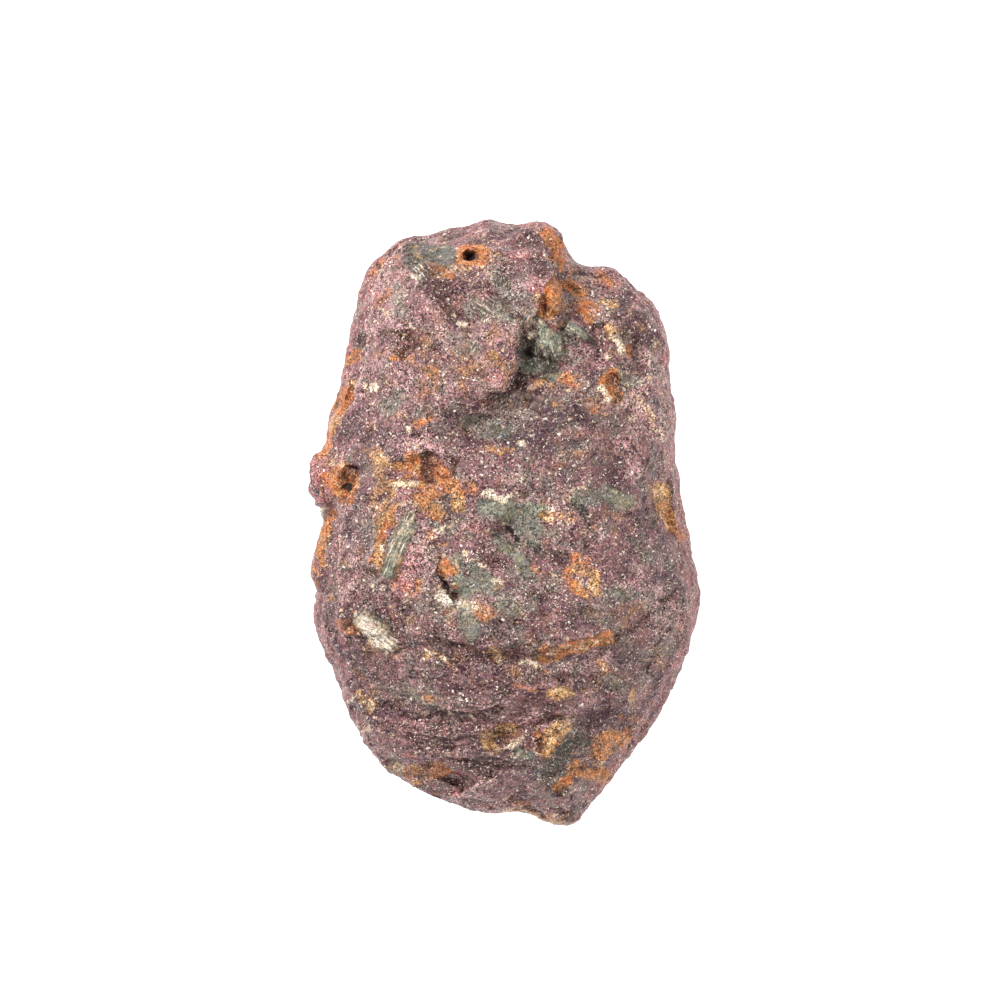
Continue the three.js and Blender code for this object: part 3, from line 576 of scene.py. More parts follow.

# %% The darker greens, and painted shade
DARK_GREEN_AND_SHADE = [
    ("teal patch of the crown", [(-4.3, 13.2), (-3.5, 13.0), (-3.0, 13.15)], 0.66, 1.7, -0.04),
    ("plate, dark flecks", [(-0.3, 12.35), (-0.1, 12.0)], 0.24, 0.62),
    ("shadow side of the green crystal", [(1.1, 8.75), (1.4, 8.0), (1.9, 7.95)], 0.3, 1.3),
    ("right of the green crystal", [(3.0, 9.5), (3.4, 8.8)], 0.24, 1.0),
    ("end of the splinter", [(3.9, 9.3), (4.5, 8.95)], 0.22, 0.6),
    ("below the crystal", [(1.7, 7.95), (2.5, 7.7)], 0.24, 0.9),
    ("striated band", [(-1.5, 4.7), (-0.2, 4.5)], 0.3, 0.45),
    ("dark of the teal patch", [(-0.45, 0.35), (-0.05, 0.1), (0.4, -0.1)], 0.13, 0.85),
    ("dark of the teal patch, low", [(-0.35, -0.5), (0.4, -1.2)], 0.3, 0.5),
    ("dark of the grey patch", [(3.4, 0.9), (3.9, 0.5)], 0.34, 0.85),
    ("beside the striated crystal", [(-6.75, -4.6), (-6.1, -4.95), (-5.7, -5.5)], 0.24, 1.1),
    ("hollow of the striated crystal", [(-7.5, -5.4), (-6.8, -6.4)], 0.3, 0.35, -0.02),
    ("foot, upper", [(2.4, -11.8), (2.9, -11.3), (3.9, -11.0)], 0.6, 0.95),
    ("foot, lower", [(1.9, -12.3), (2.9, -12.4)], 0.4, 0.6),
    ("green fleck", [(-2.2, -5.2)], 0.3, 0.4),
    ("below the gold", [(1.8, 7.25), (2.6, 7.0)], 0.2, 0.6),
    ("olive shadow", [(1.15, -1.15), (1.9, -1.5)], 0.28, 0.7),
    ("below the green crystal", [(1.3, 7.9), (2.4, 7.8)], 0.3, 0.9),
    ("fringe of the striated crystal", [(-6.2, -4.6), (-5.7, -5.35)], 0.14, 0.55),
]
print("dark green strokes:", len(DARK_GREEN_AND_SHADE))

# %% [markdown]
# ## Pink and maroon
# Clean ruby is pink, and some of it is maroon. Most maroon strokes are painted shadow, in creases, in
# hollows and under ledges. Many of them also sink a little, because a crease that is only painted dark
# looks like a stain.

# %% Pink ruby
PINK = [
    ("corner strip", [(-6.2, 13.2), (-6.9, 12.2), (-7.2, 11.0)], 0.5, 1.5),
    ("left strip, low", [(-7.9, 9.0), (-8.2, 7.3)], 0.4, 1.2),
    ("crimson spot", [(-6.5, 7.2), (-6.1, 7.05)], 0.22, 0.6),
    ("striated pink", [(-2.2, 11.75), (-1.1, 11.3)], 0.55, 0.5),
    ("tongue tip", [(-0.5, 7.2), (0.15, 6.75)], 0.45, 0.72, 0.04),
    ("plate's upper right", [(0.7, 13.8), (1.5, 12.6), (1.6, 11.8)], 0.6, 1.0),
    ("shoulder edge", [(7.3, 10.1), (7.9, 9.3)], 0.5, 0.5),
    ("left knob", [(-9.3, 3.0), (-9.2, 1.7)], 0.6, 1.5),
    ("lilac", [(-4.3, -0.9), (-4.2, -2.2)], 0.6, 0.3),
    ("salmon lobe", [(-5.4, -3.1), (-4.6, -3.4)], 0.45, 1.0),
    ("left bulge", [(-9.5, -2.4), (-9.4, -3.1)], 0.28, 0.6),
    ("lip lump", [(-2.2, -13.8), (-0.4, -13.8)], 0.6, 0.5, 0.05),
    ("rim of the foot", [(0.3, -14.4), (2.4, -15.0)], 0.32, 0.7),
    ("right rim of the foot", [(6.8, -10.6), (6.2, -11.7)], 0.4, 0.75),
    ("salmon edge", [(7.2, -8.8), (6.8, -9.7)], 0.32, 0.9),
    ("left edge, low", [(-9.3, -6.2), (-8.6, -8.4)], 0.25, 0.5),
    ("crown, left of the pit", [(-3.4, 14.1), (-2.4, 14.0)], 0.4, 0.4),
    ("beside the teal patch", [(-2.2, -0.1), (-1.4, -0.4)], 0.4, 0.45),
    ("red spot", [(7.65, -2.3), (8.0, -2.45)], 0.16, 1.3),
    ("right edge", [(9.0, -3.4), (9.2, -5.2)], 0.4, 0.35),
    ("pink-tan mass", [(-5.0, 1.5), (-4.5, 0.9)], 0.5, 0.55),
    ("crimson by the striated crystal", [(-7.6, -4.5), (-7.4, -5.0)], 0.32, 1.2),
    ("left strip, upper", [(-7.4, 10.4), (-7.6, 8.9)], 0.35, 0.9),
    ("crown, upper rim", [(-0.9, 14.9), (1.2, 14.6)], 0.5, 0.8),
    ("crown, left", [(-6.0, 12.6), (-4.6, 12.3)], 0.6, 0.6),
    ("shoulder rim", [(4.4, 12.4), (6.2, 11.3), (7.5, 9.7)], 0.5, 0.65),
    ("left of the round pit", [(-9.1, 3.0), (-9.2, 1.2)], 0.5, 0.9),
    ("left rim", [(-9.1, -2.6), (-9.0, -5.4), (-8.0, -8.4)], 0.5, 0.7),
    ("right rim", [(9.0, -3.0), (8.8, -6.0), (7.6, -9.6), (6.2, -11.4)], 0.5, 0.6),
    ("lilac slab", [(-4.4, -1.3), (-5.0, -3.0)], 0.45, 0.9),
    ("crown, right", [(1.2, 13.4), (3.2, 12.9)], 0.5, 0.7),
]
print("pink strokes:", len(PINK))

# %% Maroon ruby, and painted shadows
MAROON_AND_SHADOWS = [
    ("striated maroon", [(-4.1, 12.1), (-2.9, 11.7)], 0.5, 1.0, -0.04),
    ("striated maroon, low", [(-3.5, 11.5), (-2.7, 10.2)], 0.42, 0.8),
    ("red-brown round the chip", [(-4.6, 10.3), (-4.2, 10.0)], 0.32, 0.5),
    ("left strip", [(-7.05, 9.2), (-7.45, 8.6)], 0.26, 0.9),
    ("crimson", [(-6.55, 7.3), (-6.05, 7.1)], 0.2, 0.8),
    ("crown band", [(-0.6, 14.75), (1.1, 14.25)], 0.42, 0.8),
    ("under the tongue", [(-0.9, 6.25), (-0.2, 6.1), (0.3, 6.5), (0.5, 7.3)], 0.19, 1.1, -0.16),
    ("right edge of the plate", [(0.6, 7.6), (0.75, 8.4)], 0.16, 0.5),
    ("gap by the slab", [(2.1, 11.9), (2.0, 11.0)], 0.1, 0.9, -0.1),
    ("below the notch", [(2.9, 12.5), (3.05, 12.0)], 0.22, 0.7, -0.05),
    ("beside the pale slab", [(5.8, 9.9), (6.3, 9.1)], 0.38, 0.8, -0.08),
    ("crack under the tongue", [(-1.2, 5.15), (0.6, 5.2)], 0.1, 0.7, -0.05),
    ("cavity, right", [(-2.8, 3.3), (-2.6, 2.95)], 0.25, 1.15, -0.05),
    ("spot by the cavity", [(-3.1, 1.5), (-3.0, 1.2)], 0.2, 0.95, -0.05),
    ("above the white edge", [(-1.3, 1.62), (0.4, 1.65)], 0.14, 0.9, -0.1),
    ("spot of the grey patch", [(5.4, 1.7), (5.7, 1.6)], 0.18, 1.3, -0.1),
    ("below the teal patch", [(1.9, -1.45), (3.0, -1.8)], 0.34, 1.05, -0.04),
    ("flank line, inner", [(6.7, 4.2), (6.9, 0.7)], 0.12, 0.45, -0.04),
    ("flank line, outer", [(7.25, 4.0), (7.4, 0.7)], 0.1, 0.45, -0.04),
    ("flank spots", [(7.0, 0.5), (7.3, -0.2)], 0.25, 0.5, -0.03),
    ("flank spot, low", [(7.0, -2.9), (7.4, -3.1)], 0.17, 0.6),
    ("ledge shadow, left", [(-4.0, -5.9), (-2.6, -6.4), (-0.9, -6.55)], 0.42, 0.6, -0.02),
    ("ledge shadow, right", [(-0.2, -6.25), (1.6, -6.5)], 0.26, 0.55, -0.02),
    ("second ledge shadow", [(-2.8, -9.2), (-1.6, -9.3), (-0.2, -9.05)], 0.22, 1.0, -0.08),
    ("under the tan spots", [(-1.2, -8.0), (0.3, -8.1)], 0.22, 0.9, -0.04),
    ("nick", [(2.75, -7.8), (3.2, -7.85)], 0.18, 1.0, -0.1),
    ("lower left hollow", [(-7.5, -9.3), (-6.9, -9.5)], 0.28, 0.85, -0.1),
    ("right of the second ledge", [(4.9, -8.3), (6.2, -9.4)], 0.5, 0.42),
    ("by the lip", [(-3.2, -13.0), (-2.3, -13.15)], 0.36, 1.1, -0.08),
    ("above the lip", [(-2.0, -12.1), (-0.8, -12.3)], 0.38, 1.0, -0.04),
    ("pink of the lip, deep", [(-2.0, -14.0), (-1.6, -14.1)], 0.28, 0.8),
    ("point of the foot", [(3.3, -14.0), (3.9, -14.1)], 0.32, 0.8),
    ("lower field", [(-5.5, -7.0), (-3.6, -7.6)], 0.5, 0.35),
    ("crease of the sheets", [(-3.4, -10.3), (-1.2, -10.2)], 0.12, 0.5, -0.05),
    ("crease of the sheets, low", [(-3.6, -11.2), (-1.4, -11.1)], 0.12, 0.5, -0.05),
    ("crease at the right", [(3.0, -9.2), (6.4, -8.9)], 0.1, 0.5, -0.05),
    ("left of the grey tail", [(-1.4, -1.7), (-0.2, -2.1)], 0.32, 0.75, -0.02),
    ("left of the teal patch", [(-1.3, -0.9), (-0.9, -1.15)], 0.16, 0.9, -0.05),
    ("shadow of the tan chip", [(-4.85, 9.75), (-4.3, 9.9)], 0.3, 0.7, -0.03),
    ("rim of the round pit", [(-8.3, 2.7), (-7.8, 2.85), (-7.3, 2.4)], 0.16, 0.8),
    ("crimson shadow", [(-7.75, -4.3), (-7.45, -5.3)], 0.42, 1.5),
    ("crown, right, deep", [(0.6, 14.3), (1.7, 13.6), (1.6, 12.6)], 0.6, 0.75),
    ("crown, left of the pit", [(-4.3, 13.9), (-2.6, 14.5)], 0.45, 0.5),
    ("right of the slab", [(5.7, 10.2), (6.4, 9.4)], 0.5, 0.55),
]
print("maroon strokes:", len(MAROON_AND_SHADOWS))

# %% [markdown]
# ## Brown and black
# Old iron oxide is brown, and it lines the walls of the pits. Black goes in their bottoms, and one black
# stroke is painted shadow beside the green crystal. It's the darkest colour on the stone, so its strokes
# are few and small.

# %% Brown iron
BROWN = [
    ("brown hollow, rim", [(-5.75, 9.45), (-4.75, 9.3)], 0.18, 0.9, -0.05),
    ("brown hollow", [(-5.2, 8.5), (-4.4, 8.7)], 0.42, 0.72, -0.04),
    ("shoulder spot", [(3.3, 11.8), (3.6, 11.6)], 0.22, 0.5),
    ("right pit, inside", [(5.3, 6.9), (5.6, 6.15)], 0.22, 0.7, -0.02),
    ("round pit, wall", [(-7.75, 2.5), (-7.6, 2.1)], 0.25, 0.6),
    ("cavity", [(-3.98, 3.0), (-3.8, 2.6), (-3.78, 2.35)], 0.36, 1.0, -0.16),
    ("below the round pit", [(-8.7, 1.0)], 0.25, 0.6),
    ("rusty pit, dark", [(-3.35, -1.9), (-3.15, -2.5), (-3.0, -3.0), (-2.45, -3.55)], 0.16, 1.3, -0.16),
    ("crack beside the tan block", [(1.6, -10.7), (1.72, -11.2)], 0.13, 1.3, -0.08),
    ("top of the tan block", [(2.5, -9.75), (3.1, -9.8)], 0.16, 0.7),
    ("pit of the foot", [(2.85, -13.3)], 0.22, 0.7, -0.03),
    ("ledge streak, dark", [(4.9, -6.1), (5.05, -6.2)], 0.12, 0.9),
    ("corner", [(-4.3, -12.1), (-3.9, -12.0)], 0.25, 0.6),
    ("small spot", [(-2.25, 4.75), (-1.95, 4.5)], 0.17, 0.9),
    ("lower left patch", [(-4.2, -12.5), (-3.2, -12.3)], 0.28, 0.6),
    ("above the long crystal", [(-5.2, 0.55), (-4.9, 0.3)], 0.15, 0.85, -0.05),
    ("speckle on the plate", [(-6.25, 10.8), (-6.0, 11.2)], 0.24, 0.6),
    ("cavity, right wall", [(-2.75, 2.9), (-2.6, 2.3)], 0.22, 0.75, -0.03),
    ("red-brown of the round pit", [(-8.1, 2.45), (-7.65, 2.2)], 0.33, 0.6),
    ("brown below the teal patch", [(-3.9, 12.7), (-3.2, 12.4)], 0.3, 0.8),
    ("red wall of the square pit", [(-2.05, 13.5), (-1.15, 13.5)], 0.12, 0.45),
    ("crevice below the rusty pit", [(-3.25, -2.9), (-2.9, -3.15), (-2.4, -3.6)], 0.13, 1.0, -0.05),
    ("left of the rust", [(-6.2, 2.6), (-5.8, 1.0)], 0.35, 0.35),
]
print("brown strokes:", len(BROWN))

# %% Black pits
BLACK_AND_SHADOW = [
    ("round pit", [(-8.0, 1.78), (-7.8, 1.75)], 0.16, 1.3, -0.08),
    ("teal patch, darkest", [(0.1, -0.25), (0.55, -0.75)], 0.12, 1.0, -0.03),
    ("shadow of the green crystal", [(1.05, 8.5), (1.3, 8.15)], 0.12, 0.8),
    ("cavity, foot", [(-3.9, 2.45), (-3.85, 2.2)], 0.1, 0.75, -0.05),
    ("hollow by the striated crystal", [(-7.3, -5.5), (-7.1, -6.1)], 0.18, 0.5, -0.02),
    ("rusty pit", [(-3.15, -2.6), (-2.95, -3.1)], 0.13, 1.25, -0.1),
    ("pit of the foot", [(2.85, -13.35)], 0.12, 0.5),
    ("square pit, upper half", [(-1.82, 13.34), (-1.54, 13.36)], 0.1, 1.5),
    ("square pit, lower half", [(-1.82, 13.17), (-1.54, 13.19)], 0.1, 1.5),
]
print("black strokes:", len(BLACK_AND_SHADOW))

# %% [markdown]
# ## Broad tones of the ruby, and painted light and shade
# The ruby is paler where it is sugary and broken, duller grey where its parting is smooth, and darker and
# more purple in the lower half. Some pale strokes are painted light, on faces that the lamps leave in
# shade, and some dusky strokes are painted shade, most of all along the rims. These strokes are wide and
# soft, and they only shift the ground colour, so none of them stands out or sinks.

# %% Pale tones and painted light
PALE_AND_PAINTED_LIGHT = [
    ("crown", [(-5.5, 12.6), (-1.0, 13.6), (1.4, 12.6)], 1.4, 0.55),
    ("plate, left", [(-6.0, 10.8), (-6.2, 7.6)], 0.9, 0.6),
    ("plate, middle", [(-4.4, 10.0), (-1.0, 9.0)], 1.2, 0.4),
    ("shoulder", [(4.4, 11.6), (5.6, 10.8)], 0.8, 0.4),
    ("below the shoulder", [(3.6, 8.2), (7.2, 6.6)], 0.9, 0.45),
    ("left flank", [(-7.6, 0.4), (-7.4, -3.8)], 0.9, 0.5),
    ("lilac", [(-4.3, -0.6), (-4.3, -2.4)], 0.8, 1.0),
    ("right bulge", [(7.6, -3.2), (8.6, -5.0)], 1.0, 0.8),
    ("lip", [(-2.0, -13.9), (0.4, -13.9)], 0.8, 0.5),
    ("left edge", [(-8.8, -6.0), (-6.6, -10.4)], 0.6, 0.35),
    ("middle", [(-1.6, 2.6), (1.8, 3.0)], 0.9, 0.25),
    ("rim above the cavity", [(-5.1, 3.8), (-4.2, 3.8)], 0.6, 1.8),
    ("flank", [(6.2, 5.9), (7.4, 4.9)], 0.8, 1.5),
    ("below the ledge streak", [(3.9, -6.9), (5.0, -6.8)], 0.6, 1.3),
    ("sheets", [(-3.4, -9.9), (-2.6, -11.2)], 0.7, 0.5),
    ("right of the square pit", [(-0.9, 13.0), (-1.2, 12.4)], 0.5, 0.8),
    ("top of the green crystal", [(1.2, 9.9), (1.9, 10.0)], 0.4, 1.4),
    ("left of the tongue", [(-1.9, 5.4), (-1.1, 5.1)], 0.5, 0.8),
    ("teal patch, left", [(1.2, 1.0), (1.9, 0.6)], 0.5, 1.0),
    ("top of the tan plates", [(1.2, -9.6), (1.9, -9.75)], 0.4, 1.4),
    ("flank, upper", [(6.0, 8.2), (7.4, 8.0)], 0.6, 0.8),
    ("field, right edge", [(5.9, 3.8), (6.2, 2.4)], 0.5, 0.9),
]
print("pale strokes:", len(PALE_AND_PAINTED_LIGHT))

# %% Dusky tones and painted shade
DUSK_AND_PAINTED_SHADE = [
    ("field", [(2.6, 4.6), (5.0, 3.0)], 1.5, 0.55),
    ("plate, lower", [(-4.6, 5.2), (-1.8, 5.4)], 0.8, 0.4),
    ("below the teal patch", [(1.0, -3.2), (5.4, -1.0)], 1.4, 0.35),
    ("ledge", [(-3.4, -6.2), (1.8, -6.4)], 0.7, 0.3),
    ("right below the ledge", [(4.4, -7.0), (7.8, -6.4)], 1.2, 0.2),
    ("between the ledges", [(-3.0, -8.1), (3.4, -8.3)], 0.7, 1.1),
    ("sheets", [(-3.6, -10.4), (-1.4, -11.2)], 1.2, 0.1),
    ("right of the hollow", [(3.6, -9.2), (5.6, -9.4)], 0.9, 0.6),
    ("foot", [(-1.2, -12.0), (3.4, -12.0)], 0.9, 0.55),
    ("left", [(-7.2, -6.6), (-5.2, -9.8)], 0.9, 0.8),
    ("right flank", [(7.0, 4.2), (7.4, 0.2)], 0.6, 0.35),
    ("beside the slab", [(6.2, 9.6), (6.5, 10.4)], 0.6, 0.5),
    ("crown, right", [(0.6, 14.2), (1.6, 13.4), (1.7, 12.4)], 0.8, 0.8),
    ("crown, left of the pit", [(-4.3, 13.9), (-2.4, 14.3)], 0.7, 1.5),
    ("right of the slab", [(6.2, 10.3), (7.4, 9.3)], 0.7, 2.1),
    ("left rim", [(-9.1, -2.0), (-9.0, -5.2), (-8.2, -8.0), (-7.2, -9.8)], 0.5, 1.35),
    ("left of the cavity", [(-7.7, 4.2), (-7.2, 3.8)], 0.6, 1.3),
    ("right rim, low", [(7.9, -7.6), (7.2, -9.4)], 0.5, 1.2),
    ("above the ledge", [(2.2, -5.0), (4.0, -5.1)], 0.6, 1.4),
    ("field, upper", [(0.3, 3.9), (1.8, 4.1), (3.0, 5.2)], 0.7, 1.35),
    ("left flank, upper", [(-7.7, -0.1), (-7.4, -1.2)], 0.5, 1.3),
    ("middle, low", [(-1.9, -5.4), (-1.0, -5.2)], 0.5, 2.2),
    ("right of the second ledge", [(4.0, -9.6), (7.4, -9.6)], 0.6, 2.0),
    ("beside the sheets", [(-1.9, -11.4), (-0.9, -11.4)], 0.6, 1.6),
    ("foot, right", [(4.2, -12.9), (5.2, -12.4)], 0.5, 0.7),
    ("right flank, middle", [(7.4, -1.5), (7.8, -2.5)], 0.6, 0.9),
    ("plate, upper left", [(-4.9, 11.6), (-4.1, 11.0)], 0.55, 0.7),
    ("plate, middle", [(-3.4, 10.2), (-2.7, 9.5)], 0.6, 1.2),
    ("plate, low right", [(-1.9, 8.6), (-1.1, 8.1)], 0.6, 1.2),
    ("field, left of the shoulder", [(2.4, 5.3), (3.6, 5.3)], 0.7, 0.9),
    ("grey patch, right", [(5.6, 1.0), (6.4, 0.6)], 0.6, 1.7),
    ("right of the ledge streak", [(5.7, -6.8), (6.4, -6.6)], 0.5, 0.7),
    ("between the ledges, right", [(-0.4, -8.2), (3.6, -8.1)], 0.5, 1.6),
    ("beside the tan block", [(2.8, -11.0), (3.4, -11.5)], 0.5, 0.8),
    ("left bulge", [(-7.8, -4.9), (-7.4, -5.6)], 0.5, 1.6),
    ("right rim", [(9.0, -1.6), (9.0, -3.8)], 0.5, 0.8),
    ("below the grey tail", [(2.4, -3.6), (4.6, -3.6)], 0.6, 0.8),
    ("left of the first ledge", [(-5.0, -6.6), (-4.2, -8.0)], 0.6, 0.8),
    ("crown, upper rim", [(-0.6, 14.6), (1.6, 14.1)], 0.6, 0.8),
    ("below the teal patch of the crown", [(-3.4, 12.9), (-2.6, 12.8)], 0.5, 0.8),
    ("right of the round pit", [(-7.3, 2.6), (-6.2, 2.2)], 0.5, 0.8),
    ("above the grey patch", [(2.4, 2.6), (3.6, 2.2)], 0.6, 0.7),
    ("right of the rust", [(-3.4, 1.0), (-2.6, 0.6)], 0.5, 0.7),
]
print("dusky strokes:", len(DUSK_AND_PAINTED_SHADE))

# %% Grey tones
GREY = [
    ("below the tongue", [(0.55, 6.3), (0.95, 5.3)], 0.45, 0.9),
    ("field, upper left", [(0.8, 4.6), (2.4, 3.6)], 0.9, 0.5),
    ("field streak", [(0.5, 2.4), (1.1, 2.2)], 0.25, 0.7),
    ("right field", [(6.3, -3.7), (7.5, -4.3)], 0.5, 1.0),
    ("middle right", [(5.0, -4.6), (5.3, -5.4)], 0.6, 0.6),
    ("left middle", [(-4.9, -4.6), (-2.6, -5.0)], 0.7, 0.35),
    ("lower right", [(7.1, -7.8), (6.4, -7.6)], 0.36, 0.6),
    ("crown nook", [(1.4, 14.25), (2.0, 14.0)], 0.26, 0.8),
    ("above the lip", [(-1.6, -11.7), (1.2, -11.9)], 0.5, 0.6),
    ("ledge, right", [(1.6, -7.3), (3.6, -7.0)], 0.4, 0.5),
    ("plate foot", [(-2.6, 6.2), (-1.4, 7.4)], 0.7, 0.35),
    ("field, middle", [(2.6, 3.0), (3.4, 1.0)], 1.1, 0.45),
    ("plate, upper middle", [(-0.6, 12.0), (0.6, 10.8)], 0.8, 0.5),
]
print("grey strokes:", len(GREY))

# %% [markdown]
# ## Laying the strokes on the stone
# A stroke's strength at a point depends on the distance from the stroke's line. The distance is measured
# from a place that noise has nudged aside a little, and that alone turns smooth ovals into ragged natural
# patches. The strokes are seen from above, so they hold on the upper side and fade out down the flank.
# Where the steep rim of the upper side turns away from the light, it gets some pink and dusk too: a
# painted red glow and painted shade.

# %% How a stroke is laid
WIDE_SOFTNESS = 0.9  # the broad tones fade out over nearly their whole width


def nudged(coarse, fine=0.0):
    """The points, pushed aside by the coarse and the fine noise, by so many millimetres at the most."""
    return points + coarse * warp + fine * fine_warp


seen_from_above = nudged(0.2, 0.07)[:, :2]
print("noise nudges a place by up to", round(np.abs(seen_from_above - points[:, :2]).max(), 2), "mm")


def lay(strokes, softness=0.6):
    """The strength of a list of strokes at each point, and the relief that they bring in millimetres."""
    strength = np.zeros(len(points))
    relief = np.zeros(len(points))
    for _, line, half_width, amount, *step in strokes:
        distance, _ = line_distance(seen_from_above, line)
        cover = 1 - ramp(distance, half_width * (1 - softness), half_width * (1 + softness))
        strength = np.maximum(strength, amount * cover)
        relief += sum(step) * cover
    return strength * upper, relief * upper


# %% Lay the strokes
strength = {}
stroke_relief = np.zeros(len(points))
# Some strokes in these lists are painted light and shade, not minerals: shadows among the maroon, dark green
# and black, and glints among the cream.
MINERALS_AND_PAINTED_LIGHT = {
    "rust": RUST, "ochre": OCHRE, "cream": CREAM_AND_GLINTS, "green": GREEN, "dark_green": DARK_GREEN_AND_SHADE,
    "pink": PINK, "maroon": MAROON_AND_SHADOWS, "brown": BROWN, "black": BLACK_AND_SHADOW,
}
TONES_AND_PAINTED_LIGHT = {"pale": PALE_AND_PAINTED_LIGHT, "dusk": DUSK_AND_PAINTED_SHADE, "grey": GREY}
for mineral, strokes in MINERALS_AND_PAINTED_LIGHT.items():
    strength[mineral], relief = lay(strokes)
    stroke_relief += relief
for tone, strokes in TONES_AND_PAINTED_LIGHT.items():
    strength[tone], _ = lay(strokes, WIDE_SOFTNESS)
# Painted rim light: the steep rim of the upper side, turned away from the light, is made pinker and duskier.
rim = ramp(1 - normals[:, 2], 0.3, 0.8) * upper
for stain, share in (("pink", 0.6), ("dusk", 0.45)):
    strength[stain] = np.maximum(strength[stain], share * rim)
print("strokes laid:", sum(len(strokes) for strokes in {**MINERALS_AND_PAINTED_LIGHT, **TONES_AND_PAINTED_LIGHT}.values()))

# %% [markdown]
# ## The sides and the underside
# Nobody placed strokes on the hidden sides, but the same minerals run right through the stone. A seeded
# random choice scatters stains and crystals there, as lens-shaped patches in space, so that they wrap
# round the edges as real ones do.

# %% Scatter minerals over the hidden sides
SEED = 31
SCATTERED = 230
PATCH_RADII = ((0.3, 1.5), (0.25, 0.9), (0.2, 0.7))  # mm, the least and the most in x, y and z
CHOICES = [
    # mineral, how often it comes, its strength
    ("rust", 30, 0.9), ("ochre", 22, 0.8), ("green", 20, 0.75), ("cream", 12, 0.75), ("maroon", 14, 0.75),
    ("pink", 16, 0.8), ("dark_green", 8, 0.8), ("brown", 8, 0.85), ("grey", 10, 0.7), ("dusk", 12, 0.7),
]
chooser = random.Random(SEED)
hidden = 1 - upper
hidden_places = np.flatnonzero(hidden > 0.5)
in_space = nudged(0.3, 0.1)
how_often = [choice[1] for choice in CHOICES]
for _ in range(SCATTERED):
    mineral, _, amount = chooser.choices(CHOICES, weights=how_often)[0]
    middle = points[chooser.choice(hidden_places)]
    radius = np.array([chooser.uniform(least, most) for least, most in PATCH_RADII])
    distance = np.linalg.norm((in_space - middle) / radius, axis=1)
    cover = (1 - ramp(distance, 0.55, 1.3)) * hidden * chooser.uniform(0.6, 1.15)
    strength[mineral] = np.maximum(strength[mineral], amount * cover)
print("scattered patches:", SCATTERED)

# %% [markdown]
# ## Crystals with a grain of their own
# The green and the cream crystals are bundles of thin plates, and they show stripes along their length.
# Each gets two rulers: numbers that count millimetres across the stripes and along them. The relief and
# the material read them, so the grooves and the colour threads run the same way.

# %% Stripes of the plated crystals
PLATED = [
    # name, start and end of its middle line, half width
    ("green crystal", (1.45, 10.1), (2.2, 8.3), 0.8),
    ("green splinter", (2.9, 10.0), (4.2, 9.0), 0.3),
    ("striated crystal", (-7.1, -4.8), (-5.6, -6.0), 0.62),
    ("long crystal", (-4.6, 0.6), (-5.8, -2.5), 0.45),
    ("striated maroon", (-4.2, 12.2), (-2.2, 9.8), 0.7),
    ("striated pink", (-2.4, 12.1), (-0.9, 10.9), 0.6),
    ("lower sheets", (-3.9, -10.4), (-0.9, -10.1), 1.2),
]
STRIPE_SPACING = 0.17  # mm
STRIPE_HEIGHT = 0.05
stripe_across = np.zeros(len(points))
stripe_along = np.zeros(len(points))
stripe_strength = np.zeros(len(points))
for _, start, end, half_width in PLATED:
    start, end = np.array(start), np.array(end)
    along = (end - start) / np.linalg.norm(end - start)
    across = np.array([-along[1], along[0]])
    distance, _ = line_distance(seen_from_above, [start, end])
    cover = (1 - ramp(distance, half_width * 0.6, half_width * 1.2)) * upper
    offset = points[:, :2] - start
    stripe_across = np.where(cover > 0, offset @ across + 0.05 * warp[:, 0], stripe_across)
    stripe_along = np.where(cover > 0, offset @ along, stripe_along)
    stripe_strength = np.maximum(stripe_strength, cover)
stripe_wave = np.sin(stripe_across * math.tau / STRIPE_SPACING + 2.2 * middling)
stripe_relief = STRIPE_HEIGHT * stripe_strength * stripe_wave
print("points on plated crystals:", int((stripe_strength > 0.5).sum()))

# %% [markdown]
# ## Crystal blocks
# The bigger crystals have flat faces of their own. A block is a rectangle seen from above, with the height
# of its face and the slopes of it along and across. Every point inside is moved to that face, so that the
# block gets a plane top and steep sides. A stroke could only raise a rounded welt there. Some blocks only
# fill: they lift what lies below their face, which makes a hollow or a pit shallower, and leave the rest.

